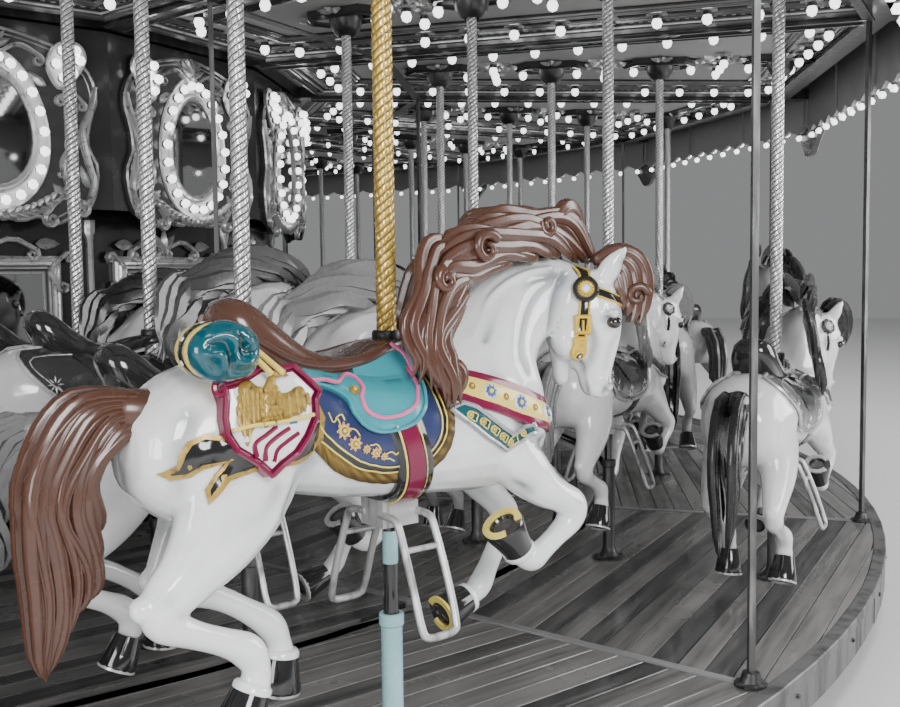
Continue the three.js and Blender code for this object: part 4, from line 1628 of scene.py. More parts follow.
@dataclass
class Chariot:
    """A bench carriage with two scrolled sides."""

    inner: float = 3.95
    outer: float = 5.75
    half: float = 0.69
    wall: float = 0.05

    def side(self) -> Draft:
        """A carved side: x along the ride, y up from the deck, z out of its face.

        Returns:
            The draft.
        """
        h = self.half
        points = [(-h, 0.12), (-h + 0.05, 0.03), (-h + 0.16, 0.0), (0, 0.012), (h - 0.16, 0.0), (h - 0.05, 0.03),
                  (h, 0.12), (h - 0.02, 0.35), (h, 0.62), (h - 0.01, 0.9), (h - 0.09, 1.03), (h - 0.17, 1.0),
                  (h - 0.21, 0.86), (h - 0.34, 0.66), (0, 0.62), (-h + 0.34, 0.66), (-h + 0.2, 0.82),
                  (-h + 0.13, 0.95), (-h + 0.05, 0.94), (-h, 0.82), (-h + 0.02, 0.4)]
        outline = np.clip(curve(points, 84, True), (-h, 0.0), (h, 1.05))
        draft = slab(outline, self.wall, Paint.CREAM, 0.008)
        draft.join(bead(outline * (0.95, 0.94) + (0, 0.026), self.wall, 0.012, Paint.RELIEF, 6))
        bands = rows(7, -300, 200, 360, 220, -130, 70, 70, 520, 300, 560, 840, 70, 60, 50,
                     -520, 780, -540, 300, 70, 50, 45, -300, 500, 280, 480, 60, 50, 45)
        face = self.wall - 0.004
        draft.join(scrolls(bands, 0.03), shift(z=face))
        draft.join(leaf(0.2, 0.1, 0.03, Paint.RELIEF, 4),
                   *placed(face, (0, 0.33, 0), (0, 0.33, math.pi), (0, 0.33, math.pi / 2), (0.45, 0.16, 0.6),
                          (-0.45, 0.16, 2.6), (0.58, 0.62, 1.5), (-0.56, 0.56, 1.6)))
        return draft.join(ball(0.04, Paint.JEWEL, 12, 7, 0.6), shift(0, 0.33, self.wall + 0.012))

    def build(self) -> None:
        """Makes one carriage and its linked copies in the ranks that carry them."""
        draft = Draft()
        z = DECK_TOP + 0.001
        side = self.side()
        draft.join(side, facing((self.outer - self.wall, 0, z), (1, 0, 0)))
        draft.join(side, stretch(-1, 1, 1) @ shift(-2 * self.inner - self.wall) @ facing((self.inner, 0, z), (1, 0, 0)))
        low, high = self.inner + self.wall, self.outer - self.wall
        draft.join(box((low, -0.59, z), (high, 0.59, z + 0.06), Paint.PLANK, 0.004))
        seat = rows(2, 210, 30, 600, 30, 610, 420, 240, 420, 210, 380)
        for sign in (-1, 1):
            draft.join(skin(np.array([[(x, sign * y, z + h) for y, h in seat] for x in (low, high)]), Paint.NIGHT))
            mirror = shift(z=z) @ stretch(1, sign, 1)
            for i in range(5):
                a, b = low + (high - low) * i / 5 + 0.006, low + (high - low) * (i + 1) / 5 - 0.006
                pad = box((a, 0.215, 0.40), (b, 0.55, 0.455), Paint.SADDLE, 0.022)
                back = box((a, -0.86, 0.0), (b, -0.44, 0.045), Paint.SADDLE, 0.02)
                draft.join(pad, mirror)
                draft.join(back, mirror @ shift(0, 0.60, 0) @ turn(0, math.pi / 2) @ stretch(1, -1, 1))
        mesh = draft.mesh("chariot_body", 35, 0.65)
        for count, rank in enumerate(CHARIOT_RANKS):
            piece = add_piece(mesh, f"chariot_carriage_{count + 1}", "turntable",
                              turn(2, rank_angle(rank)))
            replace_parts(piece, f"chariot_{count + 1}")


@dataclass
class Studio:
    """Floor, soft lights and the photo's camera."""

    lens: float = 42.63
    position: Point = (5.7668, -5.6260, 1.5003)
    forward: Point = (-0.29692, 0.95210, -0.07310)
    upward: Point = (-0.00975, 0.07353, 0.99725)
    floor: float = 60
    sky: Color = (0.86, 0.87, 0.88)
    sky_strength: float = 0.29

    def build(self) -> None:
        """Sets the stage and the camera."""
        scene = bpy.context.scene
        bpy.ops.mesh.primitive_plane_add(size=self.floor)
        floor = bpy.context.object
        floor.name = "studio_floor"
        floor.data.materials.append(Finish("floor_paint", grey(0.62), grey(0.54), scale=2, rough=0.6).material())
        world = bpy.data.worlds.new("studio")
        scene.world = world
        world.use_nodes = True
        sky = world.node_tree.nodes["Background"]
        sky.inputs["Color"].default_value = (*self.sky, 1)
        sky.inputs["Strength"].default_value = self.sky_strength
        lights = [self.lamp("top_light", (3.0, -2.0, 16.0), (0.0, 0.0, 0.0), 14.0, 4000),
                  self.lamp("front_light", (8.6, -7.6, 3.4), (4.8, -3.0, 1.0), 2.2, 380),
                  self.lamp("side_light", (10.5, 0.5, 3.0), (4.4, -1.0, 1.2), 3.5, 350),
                  self.lamp("deck_light", (3.2, -8.0, 1.6), (4.0, -1.6, 1.5), 2.0, 150)]
        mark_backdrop(floor, *lights)
        camera = bpy.data.objects.new("photo_camera", bpy.data.cameras.new("photo_camera"))
        scene.collection.objects.link(camera)
        camera.data.lens = self.lens
        camera.data.clip_start = 0.05
        ahead, up = Vector(self.forward).normalized(), Vector(self.upward).normalized()
        right = ahead.cross(up).normalized()
        up = right.cross(ahead)
        frame = Matrix((right, up, -ahead)).transposed().to_4x4()
        frame.translation = self.position
        camera.matrix_world = frame
        scene.camera = camera
        camera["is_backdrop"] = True

    def lamp(self, name: str, place: Point, target: Point, size: float, power: float) -> bpy.types.Object:
        """A soft square light.

        Args:
            name: Its name.
            place: Where it stands.
            target: Where it shines.
            size: Its side.
            power: Its watts.

        Returns:
            The light.
        """
        data = bpy.data.lights.new(name, "AREA")
        data.size, data.energy = size, power
        light = bpy.data.objects.new(name, data)
        bpy.context.scene.collection.objects.link(light)
        way = Vector(target) - Vector(place)
        light.matrix_world = Matrix.Translation(place) @ way.to_track_quat("-Z", "Y").to_matrix().to_4x4()
        return light


def paint_cad(*pairs: tuple[str, Finish]) -> None:
    """Gives CAD nodes that stay in view their finish.

    Args:
        pairs: Each node's name and its finish.
    """
    for node, finish in pairs:
        mesh = bpy.data.objects[node].data
        mesh.materials.clear()
        mesh.materials.append(finish.material())


# Horses

@dataclass(frozen=True)
class Gait:
    """One carved pose: leg stations, hooves and the head's turn.

    A leg station is (x, y, z, half depth, half width). A hoof is (from x, y, z, to x, y, z).
    """

    legs: tuple[Array, ...]
    hooves: Array
    head_turn: float = -0.66


NEAR_HIND = rows(5, -430, -70, 210, 165, 80, -465, -98, 100, 135, 78, -515, -116, 15, 98, 64, -578, -124, -52, 66, 48,
                 -635, -128, -102, 50, 38, -634, -128, -140, 41, 34, -575, -128, -175, 30, 28, -508, -128, -206, 30, 28,
                 -455, -128, -238, 38, 34, -437, -128, -280, 31, 29, -447, -128, -325, 38, 36)
FAR_HIND = rows(5, -400, 70, 200, 155, 80, -420, 98, 85, 125, 78, -455, 114, -10, 90, 60, -497, 120, -75, 60, 45,
                -515, 122, -120, 47, 38, -480, 122, -157, 38, 32, -400, 122, -192, 30, 27, -330, 122, -235, 29, 27,
                -265, 122, -285, 36, 33, -241, 122, -335, 30, 28, -236, 122, -370, 36, 34)
NEAR_FORE = rows(5, 270, -85, 150, 110, 70, 325, -105, 62, 80, 64, 392, -118, -8, 54, 50, 452, -122, -42, 42, 41,
                 493, -124, -70, 43, 42, 488, -124, -107, 37, 36, 437, -124, -142, 28, 29, 388, -124, -170, 29, 29,
                 352, -124, -186, 34, 34, 322, -124, -176, 30, 30, 303, -124, -152, 34, 34)
FAR_FORE = rows(5, 280, 85, 140, 110, 70, 330, 105, 45, 78, 62, 388, 120, -30, 52, 48, 440, 122, -82, 41, 41,
                476, 124, -122, 42, 42, 478, 124, -163, 36, 36, 452, 124, -214, 28, 29, 418, 124, -270, 28, 29,
                388, 124, -316, 34, 34, 360, 124, -336, 30, 30, 335, 124, -344, 34, 34)
GALLOP = Gait((NEAR_HIND, FAR_HIND, NEAR_FORE, FAR_FORE),
              rows(6, -449, -128, -318, -482, -128, -392, -236, 122, -362, -247, 122, -448,
                   306, -124, -158, 252, -124, -84, 340, 124, -345, 256, 124, -370))

# Trunk: x, top, bottom, half width. Neck: front x, z, back x, z, half width
TRUNK = rows(4, -665, 235, 125, 60, -620, 290, 65, 122, -550, 340, 25, 155, -450, 360, 30, 168, -330, 342, 55, 160,
             -200, 315, 32, 156, -50, 305, 13, 160, 100, 335, 0, 166, 220, 368, -10, 165, 320, 350, -8, 150,
             395, 285, 18, 122, 440, 235, 60, 90, 470, 200, 105, 50)
NECK = rows(5, 80, 330, 420, 30, 150, 200, 420, 462, 155, 138, 285, 500, 428, 245, 115, 375, 552, 444, 302, 96,
            465, 572, 485, 348, 83, 545, 575, 532, 388, 75, 600, 560, 585, 420, 60)
# Head and jaw, from the head's joint along its own heading: front x, z, back x, z, half width
HEAD = rows(5, 60, 560, -55, 505, 50, 118, 512, -72, 440, 72, 138, 466, -66, 388, 80, 145, 412, -58, 345, 78,
            138, 352, -30, 315, 62, 124, 298, 0, 290, 48, 115, 258, 22, 262, 41, 116, 228, 28, 236, 45,
            108, 203, 38, 212, 40, 88, 193, 52, 199, 24)
JAW = rows(5, 20, 385, -46, 385, 52, 6, 332, -52, 328, 43, 0, 296, -45, 290, 34, 2, 266, -45, 262, 33,
           0, 244, -38, 238, 30, -10, 230, -26, 229, 14)
HEAD_JOINT = (0.575, -0.035)
# A distance from the horse's middle that is clear of its body, from where its surface is looked for
CLEAR = 0.6


def ellipse_ring(centre: Sequence[float], across: Sequence[float], upward: Sequence[float], count: int = 20,
                 power: float = 2.0) -> Array:
    """One ring of a loft.

    Args:
        centre: Its middle.
        across: Half width as a vector.
        upward: Half height as a vector.
        count: Its points.
        power: 2 for an ellipse, more for a fuller shape.

    Returns:
        Points (count, 3).
    """
    angle = np.linspace(0, 2 * math.pi, count, endpoint=False)
    c, s = np.cos(angle), np.sin(angle)
    c, s = np.sign(c) * np.abs(c) ** (2 / power), np.sign(s) * np.abs(s) ** (2 / power)
    return np.asarray(centre) + c[:, None] * np.asarray(across) + s[:, None] * np.asarray(upward)


def loft(stations: Array, count: int, power: float) -> Array:
    """Rings through stations of front x, z, back x, z and half width."""
    return np.array([ellipse_ring(((ax + bx) / 2, 0, (az + bz) / 2), (0, half, 0), ((ax - bx) / 2, 0, (az - bz) / 2),
                                  count, power) for ax, az, bx, bz, half in stations])


def lengths(line: Array) -> Array:
    """How far along a line each of its points is."""
    return np.concatenate([[0], np.cumsum(np.linalg.norm(np.diff(line, axis=0), axis=1))])


def head_frame(angle: float) -> Array:
    """The head's own frame in the horse's: x along its heading, y to its left, z up."""
    return shift(*HEAD_JOINT) @ turn(2, angle)


class Surface:
    """Something that cloth, cords and carvings are laid on, seen from the side."""

    def drop(self, x: float, z: float, side: float, lift: float = 0.0) -> tuple[Array, Array]:
        """A point on the surface and its normal."""
        raise NotImplementedError

    def frame(self, x: float, z: float, side: float, lift: float = 0.0) -> Array:
        """A frame on the surface that looks outwards."""
        return facing(*self.drop(x, z, side, lift))

    def lay(self, path: Iterable[Point], side: float, lift: float = 0.0) -> Array:
        """A side-view line laid on the body."""
        return np.array([self.drop(x, z, side, lift)[0] for x, z in path])

    def patch(self, outline: Sequence[Point], side: float, lift: float, finish: Finish, step: float = 0.02,
              sink: float = 0.012, smooth: bool = True, puff: float = 0.0) -> Draft:
        """A sheet of cloth or leather on the body with an outline in side view.

        Args:
            outline: Its corners (x, z).
            side: -1 for the horse's right, 1 for its left.
            lift: How high its face stands above the body.
            finish: Its finish.
            step: Distance between its points.
            sink: How far its edge reaches into the body.
            smooth: Whether the outline is a smooth line through its corners.
            puff: Extra height in its middle.

        Returns:
            The draft.
        """
        line = np.asarray(outline, float)
        length = np.linalg.norm(np.roll(line, -1, axis=0) - line, axis=1).sum()
        if smooth:
            line = curve(line, max(8, int(length / step)), True)
        else:
            parts = []
            for a, b in zip(line, np.roll(line, -1, axis=0)):
                n = max(1, round(np.linalg.norm(b - a) / step))
                parts += [a + (b - a) * i / n for i in range(n)]
            line = np.array(parts)
        low, high = line.min(0), line.max(0)
        grid = [(x + (step / 2 if j % 2 else 0), z)
                for j, z in enumerate(np.arange(low[1] + step / 2, high[1], step * 0.87))
                for x in np.arange(low[0] + step / 2, high[0], step)]
        after = np.roll(line, -1, axis=0)
        inside = []
        for x, z in grid:
            crossing = ((line[:, 1] > z) != (after[:, 1] > z)) & (
                x < (after[:, 0] - line[:, 0]) * (z - line[:, 1]) / (after[:, 1] - line[:, 1] + 1e-12) + line[:, 0])
            if crossing.sum() % 2 and np.linalg.norm(line - (x, z), axis=1).min() > 0.55 * step:
                inside.append((x, z))
        flat = [Vector(p) for p in line.tolist() + inside]
        edges = [(i, (i + 1) % len(line)) for i in range(len(line))]
        made = delaunay_2d_cdt(flat, edges, [list(range(len(line)))], 1, 1e-6)
        spots = np.array([tuple(v) for v in made[0]])
        faces = [face for face in made[2] if len(face) == 3]
        rim = np.array([np.linalg.norm(line - spot, axis=1).min() for spot in spots])
        height = lift + puff * np.clip(rim / 0.05, 0, 1) ** 0.5 - np.where(rim < 1e-5, lift * 0.25, 0.0)
        tops = [self.drop(x, z, side, h) for (x, z), h in zip(spots, height)]
        top = np.array([p for p, _ in tops])
        under = np.array([p - n * (h + sink) for (p, n), h in zip(tops, height)])
        count = len(spots)
        order = [int(np.linalg.norm(spots - point, axis=1).argmin()) for point in line]
        order = [a for a, b in zip(order, np.roll(order, -1)) if a != b]
        wall = [(a, b, b + count, a + count) for a, b in zip(order, np.roll(order, -1))]
        under_faces = [tuple(i + count for i in reversed(face)) for face in faces]
        return Draft().put(np.vstack([top, under]), [np.array(faces), np.array(under_faces), np.array(wall)], finish)

    def cord(self, path: Iterable[Point], side: float, radius: float, finish: Finish, lift: float = 0.004,
             loop: bool = False, sides: int = 6) -> Draft:
        """A bead or cord laid along a side-view line."""
        return tube(self.lay(path, side, lift), radius, finish, sides, loop)


@dataclass
class Plate(Surface):
    """A flat plate held against a horse's side.

    Args:
        figure: The horse.
        corners: Places (x, z) whose points on the horse the plate follows as well as it can.
        gap: How far above those points it lies.
    """

    figure: Surface
    corners: Sequence[Point]
    gap: float

    def __post_init__(self) -> None:
        """Fits the plane y = a + b x + c z."""
        spots = np.array([self.figure.drop(x, z, -1, self.gap)[0] for x, z in self.corners])
        self.plane = np.linalg.lstsq(np.insert(spots[:, ::2], 0, 1, axis=1), spots[:, 1], rcond=None)[0]

    def drop(self, x: float, z: float, side: float, lift: float = 0.0) -> tuple[Array, Array]:
        """A point on the plate and the plate's normal.

        Args:
            x: Place along the horse.
            z: Height.
            side: -1 for the horse's right, 1 for its left.
            lift: How far above the plate.

        Returns:
            The point and the normal.
        """
        start, along, up = self.plane
        normal = np.array((along, -1, up)) / math.hypot(along, 1, up)
        place = np.array((x, start + along * x + up * z, z)) + normal * lift
        return place * (1, -side, 1), normal * (1, -side, 1)


@dataclass
class Figure(Surface):
    """A carved horse before its tack: one smooth body, with eyes and ears.

    x runs forwards, y to the left, z up from the belly on the pole's axis.
    """

    gait: Gait
    voxel: float
    coat: Finish
    faces: int = 0
    # Whether grooves are cut into the body, with painted shade along them
    creases: bool = True
    surface: BVHTree | None = None
    mesh: bpy.types.Mesh | None = None

    def clay(self) -> Draft:
        """The overlapping lumps that the body is smoothed from.

        Returns:
            The draft.
        """
        paint = self.coat
        draft = Draft()
        trunk = curve(TRUNK, 40)
        draft.join(skin(np.array([ellipse_ring((x, 0, (top + low) / 2), (0, half, 0), (0, 0, (top - low) / 2), 24, 2.25)
                                  for x, top, low, half in trunk]), paint, Cap.POINT, Cap.POINT))
        neck = loft(curve(NECK, 24), 24, 2.15)
        neck[..., 1] -= 0.03 * np.clip((neck[..., 0] - 0.45) / 0.2, 0, 1) ** 2
        draft.join(skin(neck, paint, Cap.FLAT, Cap.POINT))
        head = head_frame(self.gait.head_turn)
        for stations in (curve(HEAD, 30), curve(JAW, 16)):
            draft.join(skin(loft(stations, 20, 2.3), paint, Cap.POINT, Cap.POINT), head)
        for side in (-1, 1):
            draft.join(ball(0.052, paint, 12, 9, 1.15), head @ shift(-0.004, side * 0.040, 0.360))
            draft.join(ball(0.023, paint, 10, 7, 0.7), head @ shift(0.104, side * 0.062, 0.418))
            draft.join(ball(0.020, paint, 10, 7, 1.0), head @ shift(0.098, side * 0.030, 0.232))
            ear = curve(rows(4, 88, 36, 505, 24, 104, 41, 540, 31, 126, 45, 572, 22, 152, 47, 603, 3), 12)
            path = ear[:, :3] * (1, side, 1)
            draft.join(sweep(path, circle(10) * (0.75, 1), paint, ear[:, 3], Cap.FLAT, Cap.POINT, up=(1, 0, 0)), head)
            draft.join(ball(0.085, paint, 14, 9, 1.15), shift(0.33, side * 0.085, 0.16))
            draft.join(ball(0.105, paint, 14, 9, 1.05), shift(-0.46, side * 0.072, 0.20))
        for leg in self.gait.legs:
            path = curve(leg, 44)
            draft.join(sweep(path[:, :3], circle(14), paint, path[:, [4, 3]], Cap.POINT, Cap.POINT, up=(1, 0, 0)))
        draft.join(ball(0.027, paint, 10, 7), shift(-0.680, -0.128, -0.104), shift(-0.556, 0.122, -0.125))
        return draft

    def carve(self) -> None:
        """Makes the smooth body and keeps its surface for the tack."""
        body = modified(self.clay().mesh("clay", None),
                        ("REMESH", {"mode": "VOXEL", "voxel_size": self.voxel, "adaptivity": 0.0}),
                        ("SMOOTH", {"factor": 0.5, "iterations": 5}))
        if self.creases:
            self.groove(body)
        self.surface = BVHTree.FromPolygons([v.co.copy() for v in body.vertices],
                                            [tuple(p.vertices) for p in body.polygons])
        if self.faces:
            body = modified(body, ("DECIMATE", {"ratio": min(1.0, self.faces / (2 * len(body.polygons)))}))
        body.materials.clear()
        body.materials.append(self.coat.material())
        body.shade_smooth()
        self.mesh = body

    def groove(self, body: bpy.types.Mesh) -> None:
        """Cuts muscle lines, neck folds, the mouth, nostrils and eye sockets into the body, and keeps painted shade
        along the grooves in its shade attribute.

        Args:
            body: The body's mesh, which is changed.
        """
        count = len(body.vertices)
        cloud, normals = np.zeros(count * 3), np.zeros(count * 3)
        body.vertices.foreach_get("co", cloud)
        body.vertices.foreach_get("normal", normals)
        cloud, normals = cloud.reshape(-1, 3), normals.reshape(-1, 3)
        move, dark = np.zeros(count), np.zeros(count)
        far, darkest = 9.0, 0.85
        for line, depth, width in self.lines():
            near = np.full(count, far)
            reach = np.abs(cloud - line.mean(0)).max(1) < np.ptp(line, axis=0).max() + 5 * width
            part = cloud[reach]
            best = np.full(len(part), far)
            for a, b in zip(line[:-1], line[1:]):
                way = b - a
                t = np.clip(((part - a) @ way) / (way @ way + 1e-12), 0, 1)
                best = np.minimum(best, np.linalg.norm(part - a - t[:, None] * way, axis=1))
            near[reach] = best
            move += depth * np.exp(-((near / width) ** 2))
            # Painted shade: each groove darkens the coat along it and a little beyond.
            if depth < 0:
                dark += min(darkest, -depth * 90) * np.exp(-((near / (1.6 * width)) ** 2))
        cloud += normals * move[:, None]
        body.vertices.foreach_set("co", cloud.ravel())
        # The painted shade is kept as the shade attribute, which the lacquer grain adds to its mask.
        shade = body.attributes.new("shade", "FLOAT", "POINT")
        shade.data.foreach_set("value", np.clip(dark, 0, darkest))
        body.update()

    def lines(self) -> list[tuple[Array, float, float]]:
        """Grooves (below 0) and ridges (above 0) as (line, depth, width).

        Returns:
            The lines, each with its depth and its width.
        """
        found = []
        head = head_frame(self.gait.head_turn)

        def add(points: Sequence[Point], depth: float, width: float, frame: Array | None = None) -> None:
            """Adds a line on both sides, given for the left side.

            Args:
                points: A few points of the line.
                depth: How far it moves the surface.
                width: How far to its sides it reaches.
                frame: The frame that it is given in, if not the horse's.
            """
            for side in (-1, 1):
                line = curve(points, 4 * len(points)) * (1, side, 1)
                if frame is not None:
                    line = line @ frame[:3, :3].T + frame[:3, 3]
                found.append((line, depth, width))

        # neck: the groove behind the jaw, a long raised fold under the crest and a second groove
        add(rows(3, 530, 70, 530, 485, 76, 475, 468, 77, 432, 470, 80, 385), -0.014, 0.011)
        add(rows(3, 500, 62, 520, 435, 75, 500, 383, 88, 465, 345, 103, 420, 320, 115, 375, 308, 129, 330,
                 325, 135, 290), -0.0065, 0.013)
        add(rows(3, 484, 62, 545, 400, 62, 534, 325, 60, 505, 262, 62, 465, 222, 78, 425, 196, 90, 385), 0.011, 0.009)
        add(rows(3, 490, 62, 529, 410, 68, 512, 345, 66, 479, 290, 70, 436, 252, 86, 398, 222, 100, 372), -0.007,
            0.0075)
        add(rows(3, 470, 50, 560, 380, 48, 550, 305, 45, 522, 240, 50, 480, 196, 70, 430), -0.006, 0.0075)
        # shoulder and chest
        add(rows(3, 200, 150, 340, 245, 165, 240, 315, 160, 140, 400, 135, 90), -0.008, 0.016)
        add(rows(3, 215, 160, 50, 260, 150, 15, 320, 140, 0), -0.008, 0.014)
        add(rows(3, 360, 140, 200, 390, 130, 130, 400, 125, 60), -0.007, 0.014)
        add(rows(3, 500, 0, 220, 505, 0, 150, 490, 0, 70, 450, 0, 20), -0.010, 0.014)
        # flank, stifle and buttock
        add(rows(3, -315, 150, 300, -300, 160, 200, -325, 155, 110, -360, 150, 50), -0.010, 0.018)
        add(rows(3, -400, 165, 100, -450, 160, 50, -520, 150, 20), -0.006, 0.013)
        add(rows(3, -570, 130, 260, -600, 130, 170, -600, 135, 90), -0.006, 0.014)
        # ribs
        for x in (-0.20, -0.14):
            add([(x, 0.155, 0.12), (x + 0.01, 0.14, 0.07), (x + 0.03, 0.10, 0.035)], -0.0025, 0.011)
        # cheek, jaw, mouth and nostril
        add(rows(3, 40, 78, 400, 60, 68, 350, 50, 55, 300, 30, 45, 275), -0.008, 0.009, head)
        add(rows(3, 135, 45, 375, 110, 58, 335, 100, 48, 285), -0.006, 0.009, head)
        add(rows(3, 92, 58, 360, 78, 52, 310, 74, 46, 265), 0.004, 0.010, head)
        add(rows(3, 22, 40, 300, 30, 40, 262, 36, 38, 232, 40, 30, 204), -0.012, 0.0075, head)
        add(rows(3, 112, 30, 246, 103, 40, 237, 94, 41, 226, 92, 36, 214), -0.016, 0.0075, head)
        add(rows(3, 116, 34, 258, 98, 46, 254, 82, 44, 238), 0.005, 0.007, head)
        # eye socket with its brow and lids, and the bump above it
        add(rows(3, 134, 60, 405, 110, 74, 402, 92, 80, 412), -0.010, 0.010, head)
        add(rows(3, 140, 52, 424, 116, 72, 429, 88, 80, 424), 0.009, 0.0065, head)
        add(rows(3, 130, 58, 384, 108, 70, 378, 86, 76, 386), 0.006, 0.006, head)
        add([(0.118, 0.060, 0.452), (0.100, 0.070, 0.448)], 0.006, 0.010, head)
        # ears are hollow in front
        add([(0.112, 0.040, 0.535), (0.132, 0.046, 0.565)], -0.009, 0.010, head)
        # knees, hocks and fetlocks
        for side, leg in zip((-1, 1, -1, 1), self.gait.legs):
            fold = np.array([(-0.03, 0, 0.02), (0, side * 0.03, 0.015), (0.03, 0, 0.02)])
            found.append((leg[4, :3] + fold, -0.004, 0.008))
        return found

    def drop(self, x: float, z: float, side: float, lift: float = 0.0) -> tuple[Array, Array]:
        """A point on the body seen from one side.

        Args:
            x: Place along the horse.
            z: Height.
            side: -1 for its right, 1 for its left.
            lift: How far above the surface.

        Returns:
            The point and the surface's normal.
        """
        hit, normal, _, _ = self.surface.ray_cast(Vector((x, side * CLEAR, z)), Vector((0, -side, 0)), CLEAR + 0.02)
        if hit is None:
            hit, normal, _, _ = self.surface.find_nearest(Vector((x, side * 0.12, z)))
        if normal.y * side < -0.2:
            normal = -normal
        return np.array(hit + normal * lift), np.array(normal)


def lock(points: Sequence[Point], width: float, depth: float, finish: Finish, wave: float = 0.012, waves: float = 1.5,
         ribs: int = 3, count: int = 18, sides: int = 12, up: Point = (0, 1, 0), phase: float = 0.0) -> Draft:
    """A carved lock of hair: a ribbed, tapering, waving strand.

    Args:
        points: Its line (n, 3).
        width: Half its width in the middle.
        depth: Half its thickness.
        finish: Its finish.
        wave: How far it swings from its line.
        waves: How many times it does so.
        ribs: Strands carved into it.
        count: Rings along it.
        sides: Points round it.
        up: Out of the flat side.
        phase: Where the wave starts.

    Returns:
        The draft.
    """
    path = curve(points, count)
    t = np.linspace(0, 1, count)
    ahead = np.gradient(path, axis=0)
    side = np.cross(np.asarray(up, float), ahead)
    side /= np.linalg.norm(side, axis=1)[:, None] + 1e-9
    swing = wave * np.sin(2 * math.pi * waves * t + phase) * np.sin(math.pi * np.clip(t, 0.1, 1))
    path = path + side * swing[:, None]
    angle = np.linspace(0, 2 * math.pi, sides, endpoint=False)
    fold = 1 - 0.34 * (0.5 + 0.5 * np.cos(ribs * 2 * angle))
    section = np.column_stack([np.cos(angle) * (1 - 0.05 * (1 - fold)), np.sin(angle) * fold])
    size = (0.35 + 0.65 * np.sin(math.pi * np.clip(t * 0.85 + 0.12, 0, 1))) * np.clip((1 - t) * 5 + 0.12, 0, 1)
    return sweep(path, section, finish, np.column_stack([size * width, size * depth]), Cap.POINT, Cap.POINT, up=up)


def strap(path: Array, outward: Array, half: float, thick: float, finish: Finish, loop: bool = False) -> Draft:
    """A flat band along a line on a body.

    Args:
        path: Its line (n, 3).
        outward: The surface's normal at each point (n, 3).
        half: Half its width.
        thick: Its thickness.
        finish: Its finish.
        loop: Whether it closes on itself.

    Returns:
        The draft.
    """
    across = unit(np.cross(outward, headings(path, loop)))
    section = [(-1, -0.6), (-1, 0.6), (-0.8, 1), (0.8, 1), (1, 0.6), (1, -0.6)]
    rings = np.array([[p + a * (half * u) + n * (thick * v) for u, v in section]
                      for p, a, n in zip(path, across, outward)])
    if loop:
        return skin(np.concatenate([rings, rings[:1]]), finish, Cap.OPEN, Cap.OPEN)
    return skin(rings, finish)


def hoof(line: Point, paint: Finish, shoe: Finish | None, band: Finish | None, sides: int = 16) -> Draft:
    """A hoof from its top to its sole, with its shoe and coronet band.

    Args:
        line: From x, y, z to x, y, z.
        paint: The hoof's finish.
        shoe: The shoe's finish, if any.
        band: The band's finish, if any.
        sides: Points round it.

    Returns:
        The draft.
    """
    top, sole = np.array(line[:3]), np.array(line[3:])
    way = sole - top
    long = float(np.linalg.norm(way))
    frame = facing(top, way, (1, 0, 0.2))
    draft = lathe([(0, -0.01), (0.037, -0.008), (0.041, 0.006), (0.047, long * 0.5), (0.055, long * 0.93),
                   (0.053, long), (0.030, long), (0.026, long - 0.006), (0, long - 0.006)], sides, paint)
    if band:
        draft.join(lathe(rows(2, 36, -14, 42, -8, 42.5, 4, 38, 8), sides, band))
    if shoe:
        angle = np.linspace(0.6, 2 * math.pi - 0.6, 18)
        path = np.column_stack([0.044 * np.cos(angle), 0.044 * np.sin(angle), np.full(18, long + 0.002)])
        draft.join(sweep(path, np.array([(-1, -1), (1, -1), (1, 1), (-1, 1)]), shoe, (0.0085, 0.0045)))
    return draft.moved(frame)


